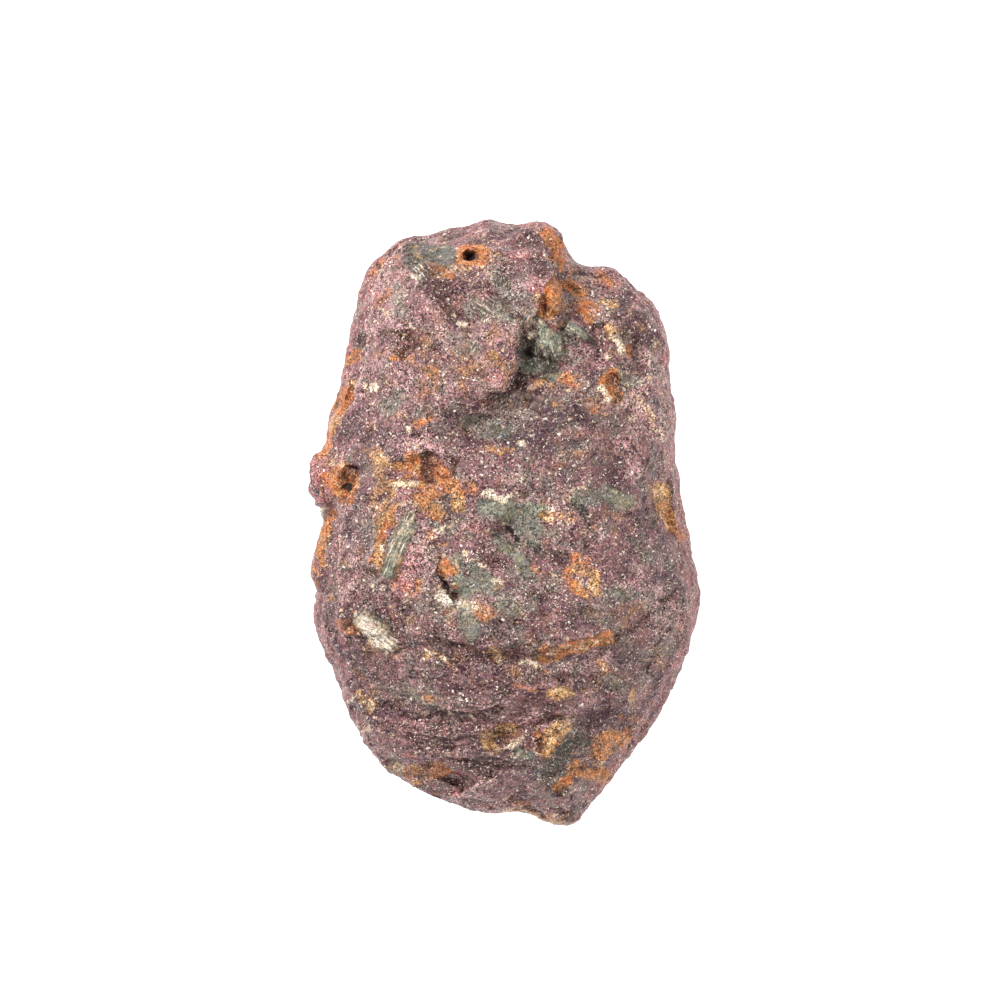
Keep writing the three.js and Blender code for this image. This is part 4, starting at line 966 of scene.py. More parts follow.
# %% Blocks
BLOCKS = [
    # name, middle, angle in degrees, length, width, face height, slopes along and across, only fills
    ("square pit, round it", (-1.62, 13.2), 0, 1.3, 1.1, 9.95, 0.25, -1.7, True),
    ("square pit", (-1.68, 13.25), -3, 0.66, 0.42, 8.9, 0.1, -0.4, False),
    ("hollow by the orange slab", (2.2, 10.8), -80, 2.4, 1.2, 11.45, 0.0, -0.4, True),
    ("orange slab", (2.4, 11.2), -78, 1.6, 0.55, 11.8, 0.05, -0.25, False),
    ("green hollow", (1.75, 8.7), -70, 3.0, 2.3, 11.5, 0.0, -0.1, True),
    ("rusty pit", (-2.9, -2.35), 66, 1.7, 1.2, 12.4, 0.1, -0.1, True),
    ("right pit", (5.35, 6.6), -68, 1.6, 0.9, 10.85, 0.0, -0.85, True),
    ("stained cavity", (-3.85, 2.8), 0, 1.5, 1.6, 11.45, 0.1, 0.2, True),
    ("round pit", (-7.8, 2.25), 0, 1.3, 1.3, 9.3, 0.3, 0.0, True),
    ("hollow by the lip", (-2.85, -13.05), 0, 1.8, 1.6, 8.15, 0.25, 1.15, True),
    ("pit by the foot", (2.7, -13.3), 0, 1.1, 0.9, 9.3, 0.0, 1.0, True),
    ("dark green bed", (3.1, 8.7), -20, 1.6, 1.5, 11.3, 0.0, 0.0, True),
    ("green crystal, left plate", (1.3, 8.85), -64, 1.9, 0.55, 11.9, -0.1, 0.2, False),
    ("green crystal", (1.85, 9.15), -67, 2.05, 0.95, 12.2, -0.05, 0.05, False),
    ("green splinter", (3.5, 9.5), -45, 1.25, 0.36, 11.75, 0.0, 0.3, False),
    ("pale slab", (5.5, 8.85), -68, 1.5, 0.5, 11.15, 0.1, 0.3, False),
    ("cream slab", (4.95, 6.35), -56, 0.85, 0.36, 11.45, 0.2, 0.3, False),
    ("white crystal", (-2.84, -3.8), -78, 0.76, 0.66, 12.68, 0.0, -0.2, False),
    ("striated crystal, round it", (-6.3, -5.3), -42, 3.2, 2.0, 10.85, 0.05, 0.28, True),
    ("striated crystal", (-6.22, -5.5), -44, 2.3, 1.2, 11.25, 0.02, 0.12, False),
    ("tan block", (2.45, -10.55), 58, 1.6, 0.95, 10.95, 0.1, 0.2, False),
    ("long crystal, round it", (-5.7, -0.9), 68, 3.4, 1.7, 11.75, 0.03, -0.35, True),
    ("long crystal", (-5.2, -0.95), 70, 2.7, 0.92, 12.05, 0.02, 0.05, False),
]
print("blocks:", len(BLOCKS))

# %% Set the blocks in
BLOCK_RIM = (-0.05, 0.09)  # mm inside the outline of a block: where it starts, and where it's full

block_places = nudged(0.06)[:, :2]
block_points = points.copy()
for _, middle, angle, length, width, face, slope_along, slope_across, fills in BLOCKS:
    along = np.array([math.cos(math.radians(angle)), math.sin(math.radians(angle))])
    offset = block_places - np.array(middle)
    u = offset @ along
    v = offset @ np.array([-along[1], along[0]])
    inside = np.minimum(length / 2 - np.abs(u), width / 2 - np.abs(v))
    target = face + slope_along * u + slope_across * v
    share = ramp(inside, *BLOCK_RIM) * (upper > 0.5)
    moved_height = block_points[:, 2] + share * (target - block_points[:, 2])
    block_points[:, 2] = np.maximum(moved_height, block_points[:, 2]) if fills else moved_height
print("the largest lift by a block is", round((block_points[:, 2] - z).max(), 2), "mm")

# %% [markdown]
# ## Edges where the surface drops
# Large plates of the stone broke off along the parting, and each left a small cliff. An edge is a line
# with a high side on the left, for someone who walks along it, and a drop in millimetres. A drop below
# zero puts the high side on the right. The surface rises towards the line, falls within about two tenths
# of a millimetre, and levels out again beyond it. Each edge also gets a painted shadow at its foot and a
# painted highlight along its rim, which the material lays into the colour.

# %% Edges
EDGES = [
    # name, line, drop, how far the rise reaches, both in mm
    ("plate, under the tongue", [(-1.9, 5.5), (-1.3, 5.95), (-0.9, 6.1), (-0.4, 6.0)], 0.28, 0.55),
    ("plate, right side of the tongue",
     [(-0.4, 6.0), (0.0, 6.3), (0.42, 6.85), (0.72, 7.5), (0.55, 8.3), (0.66, 8.95)], 0.5, 0.7),
    ("plate, right edge",
     [(0.66, 8.95), (1.3, 9.9), (1.85, 11.1), (2.3, 12.2), (2.1, 13.2), (1.9, 14.0)], 0.45, 0.8),
    ("plate, left edge",
     [(-5.4, 13.9), (-5.8, 13.3), (-6.4, 12.1), (-6.7, 11.0), (-6.9, 9.0), (-7.1, 7.5), (-7.55, 6.0),
      (-8.5, 5.0)], 0.34, 0.5),
    ("crown, notch", [(1.9, 14.2), (2.4, 13.3), (2.9, 12.9)], -0.25, 0.4),
    ("first ledge",
     [(-4.4, -5.4), (-3.4, -5.95), (-2.0, -6.2), (-0.85, -6.4), (0.4, -6.4), (1.5, -6.6),
      (2.2, -6.7)], 0.06, 0.6),
    ("first ledge, right", [(1.6, -6.9), (2.5, -6.85), (3.6, -6.6), (5.3, -6.35)], 0.08, 0.5),
    ("second ledge",
     [(-3.6, -8.9), (-2.6, -9.35), (-1.5, -9.4), (-0.4, -9.1), (0.7, -9.1), (1.7, -9.4)], 0.26, 0.5),
    ("between the ledges",
     [(-5.2, -7.0), (-3.9, -7.6), (-2.4, -8.0), (-0.6, -8.1), (1.2, -8.35), (2.6, -7.95),
      (4.4, -8.1)], 0.18, 0.45),
    ("third ledge", [(-4.4, -10.2), (-2.7, -10.75), (-1.4, -10.5), (-0.9, -10.2)], 0.18, 0.4),
    ("fourth ledge", [(-4.2, -11.3), (-2.4, -11.75), (-0.9, -11.6), (0.5, -12.0), (1.6, -12.1)], 0.2, 0.4),
    ("lip of the foot", [(0.1, -12.5), (-1.2, -12.8), (-1.8, -13.1), (-2.6, -13.9)], 0.3, 0.5),
    ("above the teal patch", [(-1.4, 1.45), (-0.4, 1.4), (0.6, 1.45), (1.7, 1.1), (2.6, 0.9)], 0.18, 0.35),
    ("field, right edge", [(6.85, 0.4), (6.8, 2.5), (6.55, 4.6), (6.2, 5.8)], 0.1, 0.5),
    ("flank ridge", [(7.5, 0.2), (7.4, 2.4), (7.2, 4.4)], 0.1, 0.35),
    ("left rim", [(-8.0, 0.9), (-8.3, -0.6), (-8.35, -2.4), (-8.4, -4.2)], 0.22, 0.4),
    ("lobe", [(-5.7, -3.4), (-4.8, -3.85), (-3.9, -3.5), (-3.3, -2.2), (-3.4, -0.9)], 0.28, 0.5),
    ("rust, upper edge", [(-2.0, 2.6), (-2.7, 3.3), (-4.0, 3.35), (-5.2, 3.0)], -0.14, 0.4),
    ("shoulder ledge", [(3.0, 8.6), (4.4, 8.3), (5.8, 8.0), (6.9, 7.6)], 0.2, 0.5),
    ("below the field", [(0.8, -3.0), (2.6, -3.9), (4.6, -4.2), (6.2, -4.6)], 0.14, 0.5),
    ("right of the second ledge", [(2.9, -9.1), (4.4, -9.3), (6.2, -9.0)], 0.18, 0.4),
]
print("edges:", len(EDGES))

# %% Raise the edges
CLIFF = 0.07  # mm, half the width of the cliff itself
EDGE_FADE = 0.9  # mm over which an edge dies out at both of its ends
# The dark foot of an edge is a painted shadow, and its pale rim is a painted highlight.
FULL_DROP = 0.4  # mm, the drop that gets the full dark foot and pale rim
EDGE_SHADOW_BAND = (-0.05, 0.05, 0.1, 0.3)  # mm below the edge: start, full from, full to, end
EDGE_HIGHLIGHT_BAND = (-0.24, -0.1, -0.06, 0.02)


def band(values, low, low_end, high_start, high):
    """1 between two limits and 0 beyond them, with soft slopes."""
    return ramp(values, low, low_end) * (1 - ramp(values, high_start, high))


edge_relief = np.zeros(len(points))
edge_shade = np.zeros(len(points))
edge_highlight = np.zeros(len(points))
edge_places = nudged(0.13, 0.04)[:, :2]
for _, line, drop, reach in EDGES:
    nearest, side = line_distance(edge_places, line)
    distance = nearest * side
    ends = np.minimum(*(np.hypot(*(edge_places - np.array(tip)).T) for tip in (line[0], line[-1])))
    fade = ramp(ends, 0, EDGE_FADE) * upper
    profile = 0.5 * np.tanh(distance / CLIFF) * np.exp(-np.abs(distance) / reach)
    edge_relief += drop * profile * fade
    below = -distance * np.sign(drop)
    tall = fade * abs(drop) / FULL_DROP
    # Painted shadow below the edge, and a painted highlight along the rim above it.
    edge_shade = np.maximum(edge_shade, band(below, *EDGE_SHADOW_BAND) * tall)
    edge_highlight = np.maximum(edge_highlight, band(below, *EDGE_HIGHLIGHT_BAND) * tall)
print("the edges raise the surface by up to", round(edge_relief.max(), 2), "mm")

# %% [markdown]
# ## Moving the points
# Now every point moves along its own normal by the height that was worked out. Three things hold it back.
# The relief is weaker near the widest level, because the outline there is already true to size. The parting
# face stays flat and stays on the floor, because that is what the stone lies on. And no point may leave the
# box of the frame.

# %% Raise and sink the surface
EDGE_BAND = 0.9  # mm above and below the widest level where the relief is held back
EDGE_HOLD = 0.55  # the share of the relief that is held back there
FLOOR_BAND = (0.05, 0.5)  # mm above the floor where it fades out


def move_points(mesh, places):
    """Put the points of a mesh at new places, given in millimetres."""
    mesh.vertices.foreach_set("co", (places * MM).ravel())
    mesh.update()


total = height + stroke_relief + stripe_relief + edge_relief
facing_out = 1 - np.abs(normals[:, 2])
at_edge = facing_out * (1 - ramp(np.abs(z - WIDEST_LEVEL), 0, EDGE_BAND))
total = total * (1 - EDGE_HOLD * at_edge) * ramp(z, *FLOOR_BAND)
moved = block_points + normals * total[:, None]
moved[:, 2] = np.maximum(moved[:, 2], 0)
low, high = (np.array(corner) / MM for corner in cad_box)
moved = np.clip(moved, low, high)
move_points(stone.data, moved)
print("the surface moved by", round(total.min(), 2), "to", round(total.max(), 2), "mm")

# %% [markdown]
# ## Writing the minerals into the mesh
# The strengths go into the mesh as colour attributes, four numbers at a time. They aren't colours yet:
# each number says how much of one mineral or tone a point holds, and some of them are painted light and
# shade. The material turns them into colours. Two more attributes carry the crests, the rulers of the
# stripes, the sheets, the creases, which get painted shade, the steep rim, which gets a painted glow and
# shade, and the pale rims of the ledges, which get a painted highlight.

# %% Attributes
crest = np.clip(0.5 + 1.6 * height, 0, 1)  # 0 in a hollow between grains, 1 on top of one


def write_attribute(mesh, name, channels):
    """Store four numbers for each point, as a colour attribute."""
    attribute = mesh.color_attributes.new(name, "FLOAT_COLOR", "POINT")
    attribute.data.foreach_set("color", np.stack(channels, axis=1).astype(np.float32).ravel())


CARRIED = {
    "stains": ("rust", "ochre", "brown", "cream"),
    "crystals": ("green", "dark_green", "pink", "maroon"),
    "tones": ("pale", "dusk", "grey", "black"),
}
for attribute_name, minerals in CARRIED.items():
    write_attribute(stone.data, attribute_name, [strength[mineral] for mineral in minerals])
write_attribute(stone.data, "shape", [crest, stripe_strength, stripe_across + 0.5, sheet_where])
# Painted shade for the material: the cracks, the shadow at the feet of the edges and the edges of the
# sheets.
crease = np.clip(np.maximum.reduce([crack, 0.9 * edge_shade, 0.75 * sheet_edge]), 0, 1)
write_attribute(stone.data, "creases", [crease, rim, edge_highlight, stripe_along])
print("attributes:", [attribute.name for attribute in stone.data.color_attributes])

# %% [markdown]
# ## Shader maths that reads like maths
# A material is a web of nodes. Written one node at a time it's hard to read, so a small class wraps a
# socket, and plus, minus, times and the rest make the Math nodes. One method makes any other node. A wash
# is a layer of colour, as in painting: it starts where its amount passes one number, is full at another,
# and even then covers only a share of what lies below. Three helpers follow, and then the empty material.

# %% The Field class


class Field:
    """A number or a colour that varies over the surface: one output socket of a node."""

    tree = None

    def __init__(self, socket):
        self.socket = socket

    @classmethod
    def node(cls, kind, settings=None, values=None, output=0):
        """Make a node, set it up, feed its sockets with numbers or fields, and give one or more outputs."""
        made = cls.tree.nodes.new(kind)
        for name, setting in (settings or {}).items():
            setattr(made, name, setting)
        for key, value in (values or {}).items():
            if isinstance(value, Field):
                cls.tree.links.new(value.socket, made.inputs[key])
            else:
                made.inputs[key].default_value = value
        if isinstance(output, tuple):
            return [cls(made.outputs[key]) for key in output]
        return cls(made.outputs[output])

    @classmethod
    def math(cls, operation, *values):
        """One Math node."""
        return cls.node("ShaderNodeMath", {"operation": operation}, dict(enumerate(values)))

    def __add__(self, other):
        return Field.math("ADD", self, other)

    def __sub__(self, other):
        return Field.math("SUBTRACT", self, other)

    def __rsub__(self, other):
        return Field.math("SUBTRACT", other, self)

    def __mul__(self, other):
        return Field.math("MULTIPLY", self, other)

    def __abs__(self):
        return Field.math("ABSOLUTE", self)

    __radd__ = __add__
    __rmul__ = __mul__

    def at_least(self, other):
        """This number, or the other where that is larger."""
        return Field.math("MAXIMUM", self, other)

    def ramp(self, low, high):
        """0 below low, 1 above high, and a soft curve between them."""
        values = {"Value": self, "From Min": low, "From Max": high}
        return Field.node("ShaderNodeMapRange", {"interpolation_type": "SMOOTHSTEP"}, values)

    def mix(self, colour, factor):
        """This colour, with another laid over it."""
        return Field.node("ShaderNodeMix", {"data_type": "RGBA"}, {0: factor, 6: self, 7: colour}, output=2)

    def washed(self, *washes):
        """This colour under washes, each a colour, an amount, where that starts and is full, and a share."""
        result = self
        for colour, amount, start, full, share in washes:
            result = result.mix(colour, amount.ramp(start, full) * share)
        return result

    def scaled(self, factor):
        """This colour or vector, multiplied by a number."""
        return Field.node("ShaderNodeVectorMath", {"operation": "SCALE"}, {0: self, 3: factor})

    def parts(self):
        """The red, green and blue numbers of a colour."""
        return Field.node("ShaderNodeSeparateColor", {}, {0: self}, output=(0, 1, 2))


# %% Helpers, and an empty material


def plain(colour):
    """A field that is one colour all over."""
    made = Field.node("ShaderNodeRGB")
    made.socket.default_value = colour
    return made


def vector(operation, first, second):
    """Maths on two vectors, or on two colours."""
    return Field.node("ShaderNodeVectorMath", {"operation": operation}, {0: first, 1: second})


def attribute_parts(name):
    """The four numbers of a colour attribute."""
    colour, alpha = Field.node("ShaderNodeAttribute", {"attribute_name": name}, output=("Color", "Alpha"))
    return colour.parts() + [alpha]


ruby = bpy.data.materials.new("ruby")
ruby.use_nodes = True
ruby.node_tree.nodes.clear()
Field.tree = ruby.node_tree
print("new material:", ruby.name)

# %% [markdown]
# ## Colours of the minerals
# Each is a plain mid tone, as the mineral would look in daylight. The grain makes them lighter and darker.

# %% The palette


def tint(red, green, blue):
    """A colour from the 0 to 255 numbers of a colour picker."""
    linear = [((part / 255 + 0.055) / 1.055) ** 2.4 if part > 10 else part / 255 / 12.92
              for part in (red, green, blue)]
    return (*linear, 1.0)


RUBY = tint(119, 80, 84)
RUBY_DEEP_AND_SHADE = tint(72, 42, 55)
RUBY_PALE_AND_HIGHLIGHT = tint(176, 135, 134)
RUBY_GREY = tint(112, 101, 94)
RUBY_PINK = tint(160, 94, 96)
RIM_GLOW_CRIMSON = tint(132, 62, 66)
RUBY_BROWN = tint(140, 94, 60)
MAROON_AND_SHADE_TONE = tint(58, 23, 29)
RUST_TONE = tint(188, 105, 50)
RUST_RED = tint(130, 50, 24)
OCHRE_TONE = tint(168, 118, 66)
OCHRE_PALE = tint(214, 172, 118)
BROWN_TONE = tint(74, 35, 20)
CREAM_TONE = tint(206, 176, 142)
CREAM_WHITE = tint(240, 228, 210)
GREEN_TONE = tint(104, 106, 92)
TEAL_TONE = tint(94, 103, 102)
OLIVE_TONE = tint(120, 116, 84)
GREEN_PALE = tint(150, 156, 136)
DARK_GREEN_AND_SHADE_TONE = tint(40, 48, 40)
BLACK_AND_SHADOW_TONE = tint(24, 8, 5)
SPARK = tint(255, 240, 222)
print("the ruby's own tone, as the shader counts it:", [round(part, 3) for part in RUBY[:3]])

# %% [markdown]
# ## The sugar of the stone
# Under a lens the skin is a mass of tiny broken grains, a tenth of a millimetre across and less. Each one
# turns its own face to the light, so one is bright, the next is dull, and a few flash white. Cells of
# random colour do this three ways: they vary the brightness of the colour, which paints part of that
# light and shade in, tip the surface, and pick the few that flash. The cells are read at a place that
# noise has shaken, because real grains aren't round.

# %% Clouds and grains
GRAIN = 0.06  # mm, the size of the smallest grains
CLUSTER = 0.17  # mm, the size of the grain clusters
CHIP = 0.42  # mm, the size of the broken facets
FLECK = 0.62  # mm, the spacing of the pale flecks
SPARK_SIZE = 0.047  # mm, the size of a grain that flashes
BIG_SPARK_SIZE = SPARK_SIZE * 2.2
NEEDLE = (0.11, 0.034, 0.07)  # mm, the size of a plate edge that flashes
NEEDLE_ANGLES = (0.7, -0.5, 1.9)  # radians
SHAKE = 0.25  # mm
MIDDLE_GREY = (0.5, 0.5, 0.5)

place = vector("MULTIPLY", Field.node("ShaderNodeTexCoord", output="Object"), (1 / MM, 1 / MM, 1 / MM))
shake = Field.node("ShaderNodeTexNoise", {}, {"Vector": place, "Scale": 8.0, "Detail": 2.0}, output=1)
shaken = vector("ADD", place, vector("SUBTRACT", shake, MIDDLE_GREY).scaled(SHAKE))


def cloud(size, detail, stretch=(1, 1, 1)):
    """Three separate clouds with swellings of one size in millimetres, each from about -1 to 1."""
    values = {"Vector": vector("DIVIDE", place, stretch), "Scale": 1 / size, "Detail": detail}
    noisy = Field.node("ShaderNodeTexNoise", {}, values, output=1)
    return [(part - 0.5) * 4.0 for part in noisy.parts()]


def grains(size, stretch=(1, 1, 1), output="Color"):
    """Grains of one size in millimetres: each one's random colour, or another output of the cells."""
    values = {"Vector": vector("DIVIDE", shaken, stretch), "Scale": 1 / size}
    return Field.node("ShaderNodeTexVoronoi", {}, values, output)


grain, cluster, chip = grains(GRAIN), grains(CLUSTER, (1.5, 1, 1)), grains(CHIP, (1.3, 1, 1))
grain_a, grain_b, grain_c = grain.parts()
cluster_a, cluster_b, cluster_c = cluster.parts()
chip_a, chip_b, chip_c = chip.parts()
wide_a, wide_b, wide_c = cloud(2.8, 2.0)
middle_a, middle_b, middle_c = cloud(1.2, 3.0)
blot_a, blot_b, blot_c = cloud(0.8, 4.0)
small_a, small_b, small_c = cloud(0.42, 3.0)
fine_a, fine_b, fine_c = cloud(0.15, 2.0)
hair_a, hair_b, hair_c = cloud(0.3, 3.0, (1.6, 1.0, 1.0))
print("nodes for the clouds and grains:", len(ruby.node_tree.nodes))

# %% [markdown]
# ## Where the minerals are
# The attributes come back here, as fields. A mineral that stopped at the smooth edge of its stroke would
# look painted on. So a ragged number is added before each mineral is cut off: it breaks the edge up in
# clouds first, then in clusters, then in single grains.

# %% Minerals, measures and ragged edges
SHOWS = (0.3, 0.78)  # the strength at which most minerals start to show, and at which they are solid

rust, ochre, brown, cream = attribute_parts("stains")
green, dark_green, pink, maroon = attribute_parts("crystals")
pale, dusk, grey, black = attribute_parts("tones")
crest_here, striped, across_here, sheets_here = attribute_parts("shape")
crease_here, steep, edge_highlight_here, along_here = attribute_parts("creases")
ragged = small_a * 0.34 + fine_a * 0.2 + (cluster_a - 0.5) * 0.14 + (grain_a - 0.5) * 0.2
print("fields read from the mesh:", 4 * len(stone.data.color_attributes))

# %% [markdown]
# ## The ruby ground
# Rough ruby is never one colour. Clouds of grey, pink, brown, deep and pale run into one another, and each
# is one wash. The strokes of the broad tones are added to the clouds, so they shift them and nothing more.
# Crimson goes on where the surface is steep, as a painted glow and shade of the rim, and maroon last of
# all, because much of it is painted shadow.

# %% The ruby ground
# The deep and pale washes carry the dusky and pale strokes, part of them painted shade and light.
ground = plain(RUBY).washed(
    (RUBY_GREY, grey + wide_b * 0.8 + blot_b * 0.9, -0.2, 0.7, 0.85),
    (RUBY_PINK, pink + middle_b * 0.7 + blot_c * 0.35 - 0.3, 0.0, 0.8, 0.75),
    (RUBY_BROWN, blot_a + wide_c * 0.7 + ochre * 0.7 + rust * 0.7 - 0.2, 0.0, 0.9, 0.8),
    (RUBY_DEEP_AND_SHADE, dusk * 0.7 + middle_a * 0.9 + wide_a * 0.6 + small_b * 0.3 - 0.1, 0.0, 1.0, 0.88),
    (RUBY_PALE_AND_HIGHLIGHT, pale * 0.7 - middle_a * 0.8 - wide_a * 0.3 + small_c * 0.4 - 0.1, 0.0, 1.0, 0.75),
    # Painted glow and shade on the steep rim.
    (RIM_GLOW_CRIMSON, steep + ragged * 0.5, 0.2, 1.0, 0.6),
    (MAROON_AND_SHADE_TONE, maroon + ragged, 0.2, 1.0, 0.85),
)
print("nodes with the ground:", len(ruby.node_tree.nodes))

# %% [markdown]
# ## The minerals in the ruby
# Mica, rust and feldspar aren't one colour either, so each is mixed first and then laid over the ruby.
# Stray specks of ochre and green turn up everywhere, which ties the strokes together. Feldspar has gaps,
# so that the ruby looks out between its crumbs.

# %% Mica, rust and feldspar
mica = plain(GREEN_TONE).washed(
    (TEAL_TONE, blot_c * 0.8 + small_a * 0.5, -0.2, 0.7, 0.9),
    (OLIVE_TONE, middle_c * 0.7 - small_b * 0.6, 0.0, 0.8, 0.8),
    (GREEN_PALE, green - 0.75 + fine_b * 0.25 + small_c * 0.4, 0.0, 0.7, 0.8),
)
orange = plain(RUST_TONE).washed(
    (RUST_RED, small_b * 0.7 + (chip_b - 0.5) * 0.5 + fine_c * 0.4, -0.2, 0.9, 0.85),
    (OCHRE_TONE, small_c * 0.7 + blot_b * 0.5, -0.2, 0.6, 0.75),
    (OCHRE_PALE, fine_b * 0.6 + small_a * 0.4 + (grain_c - 0.5) * 0.5, 0.1, 0.8, 0.8),
)
whiter = (fine_c * 0.5 + (grain_a - 0.5) * 0.8 + cream - 0.7).ramp(-0.1, 0.6)
feldspar = plain(CREAM_TONE).mix(CREAM_WHITE, whiter)
print("nodes with the mixed minerals:", len(ruby.node_tree.nodes))

# %% Minerals over the ground
stray_ochre = (blot_a * 0.6 + small_a * 0.4 + (chip_c - 0.5) * 0.3).ramp(0.4, 1.0) * 0.6
stray_green = (blot_b * 0.5 - small_c * 0.3 + wide_b * 0.4).ramp(0.35, 0.95) * 0.5
gaps = (fine_b * 0.5 + (grain_c - 0.5) * 0.9 + (cluster_a - 0.5) * 0.4).ramp(0.05, 0.5)
colour = ground.washed(
    (mica, green + stray_green + ragged * 0.7, 0.12, 0.95, 0.93),
    # Dark green, partly painted shade on the shadow sides of the crystals.
    (DARK_GREEN_AND_SHADE_TONE, dark_green + fine_b * 0.2 + ragged, 0.2, 1.0, 0.88),
    (OCHRE_TONE, ochre + stray_ochre + ragged, *SHOWS, 0.85),
    (OCHRE_PALE, ochre - 0.35 + fine_b * 0.35 + small_b * 0.25 + ragged, *SHOWS, 0.7),
    (orange, rust + ragged, 0.28, 1.0, 0.95),
    # The feldspar wash also lays the painted glints and highlights of the cream strokes.
    (feldspar, cream + ragged, 0.35, 0.85, 0.97 - gaps * 0.5),
    (BROWN_TONE, brown + fine_c * 0.2 + ragged, *SHOWS, 0.88),
)
print("nodes with the minerals:", len(ruby.node_tree.nodes))

# %% [markdown]
# ## Stripes and sheets
# The plated crystals show threads along their length. The two rulers place them: read with a large scale
# across and a small one along, a plain noise is drawn out into threads. The ruby's own sheets get streaks
# the same way, from a cloud that is stretched from side to side.

# %% Threads of the crystals, streaks of the sheets
THREADS_ACROSS = 9.0  # to a millimetre
THREADS_ALONG = 0.8

stripe_place = Field.node(
    "ShaderNodeCombineXYZ", {}, {0: (across_here - 0.5) * THREADS_ACROSS, 1: along_here * THREADS_ALONG})
stripe = Field.node("ShaderNodeTexNoise", {}, {"Vector": stripe_place, "Scale": 1.0, "Detail": 3.0})
stripe = (stripe - 0.5) * 4.0
between_stripes = 0 - stripe
streak_a, streak_b = cloud(0.17, 2.0, (5.0, 1.0, 2.0))[:2]
foreign = cream.at_least(green.at_least(dark_green)).ramp(0.2, 0.7)
plated = striped * foreign
colour = colour.washed(
    (MAROON_AND_SHADE_TONE, between_stripes, 0.0, 0.6, striped * (0.7 - foreign * 0.5)),
    (DARK_GREEN_AND_SHADE_TONE, between_stripes, 0.12, 0.5, plated * 0.7),
    (CREAM_WHITE, stripe, 0.25, 0.6, plated * 0.85),
    (RUBY_PALE_AND_HIGHLIGHT, stripe, 0.2, 0.9, striped * (1 - foreign) * 0.6),
    (MAROON_AND_SHADE_TONE, 0 - streak_a, 0.1, 0.8, sheets_here * 0.6),
    (RUBY_PALE_AND_HIGHLIGHT, streak_b, 0.3, 0.9, sheets_here * 0.5),
)
print("nodes with the stripes:", len(ruby.node_tree.nodes))

# %% [markdown]
# ## Creases, rims and hairlines
# Shadow alone is too weak in creases this small, so they are also painted dark as painted shade, and the
# lips of the ledges get a painted highlight. Hairlines are the edges of single broken plates: some catch
# the light, which is painted in as a pale highlight, and some are gaps. They run wherever a cloud passes
# through zero, as the cracks do.

# %% Creases, rims and hairlines
DARK_HAIR = 0.24  # how far from zero the cloud still makes a line
BRIGHT_HAIR = 0.26

# Painted shade in the creases and in the hollows between grains.
deep = crease_here.ramp(0.1, 0.8) * 0.8 + (0.4 - crest_here).ramp(0.0, 0.3) * 0.5
colour = colour.mix(MAROON_AND_SHADE_TONE, deep * (0.75 + fine_c * 0.4))
# Painted highlight along the lips of the ledges.
colour = colour.mix(RUBY_PALE_AND_HIGHLIGHT, edge_highlight_here.ramp(0.1, 0.7) * (0.6 + fine_b * 0.3))
dark_line = (DARK_HAIR - abs(hair_b)).ramp(0.0, DARK_HAIR) * small_c.ramp(-0.3, 0.7)
# The bright hairlines are painted highlights, on plate edges that catch the light.
highlight_line = (BRIGHT_HAIR - abs(hair_a)).ramp(0.0, BRIGHT_HAIR) * small_b.ramp(-0.2, 0.8)
colour = colour.mix(MAROON_AND_SHADE_TONE, dark_line * 0.3)
colour = colour.mix(RUBY_PALE_AND_HIGHLIGHT, highlight_line * 0.35)
print("nodes with the hairlines:", len(ruby.node_tree.nodes))

# %% [markdown]
# ## Light and dark grains
# Each grain is a little lighter or darker than the next, partly in its own tone and partly as painted light
# and shade of its tilted face. Some parts are as rough as sugar, and some are smooth: the plated crystals,
# the mica, and the rust that fills the gaps between grains. A few grains are pale, and the pores between
# them are dark.

# %% Light and dark grains
DARKEST = 0.2  # no grain gets darker than this share of its colour

sugar = (small_b * 0.4 + blot_c * 0.5 + (pale - dusk) * 0.45).ramp(-0.6, 0.7)
smooth = (plated * 0.65).at_least(rust.ramp(0.5, 1.1) * 0.4)
rough = 1 - smooth.at_least(green.ramp(0.5, 1.0) * 0.5)
swing = (grain_b - 0.5) * (1.45 + sugar * 2.1)
swing += (cluster_c - 0.5) * 0.16 + (chip_a - 0.5) * 0.12 + fine_c * 0.1
# Partly the grains' own tone, and partly painted light and shade of their faces.
brightness = 0.875 + swing * rough * 1.05 + middle_c * 0.14
colour = colour.scaled(brightness.at_least(DARKEST)).washed(
    (OCHRE_PALE, grain_c + small_a * 0.05, 0.86, 0.96, 0.3),
    (BLACK_AND_SHADOW_TONE, hair_c * 0.5 + fine_c * 0.5 + (cluster_b - 0.5) * 0.3, 0.55, 0.85, 0.45),
)
print("nodes with the grains:", len(ruby.node_tree.nodes))

# %% [markdown]
# ## Flecks, and grains that flash
# Pale flecks are crumbs of feldspar. Every fifth cell of a coarse pattern gets one, in its middle. Then a
# few grains lie just right and throw the lamp straight back. Real reflections from facets this small
# would need far more samples than a picture gets, so the flashes are painted: about one grain in fifty,
# some big ones, and needles, which are plates seen on edge. Rust and mica hush them. The black pits come
# last, since nothing flashes in them.

# %% Pale flecks
fleck_colour, fleck_distance = grains(FLECK, (1.3, 1, 1), ("Color", "Distance"))
chosen = fleck_colour.parts()[0].ramp(0.8, 0.82)
colour = colour.mix(CREAM_TONE, (0.15 - fleck_distance + fine_a * 0.05).ramp(0.0, 0.03) * chosen * 0.9)
print("nodes with the flecks:", len(ruby.node_tree.nodes))

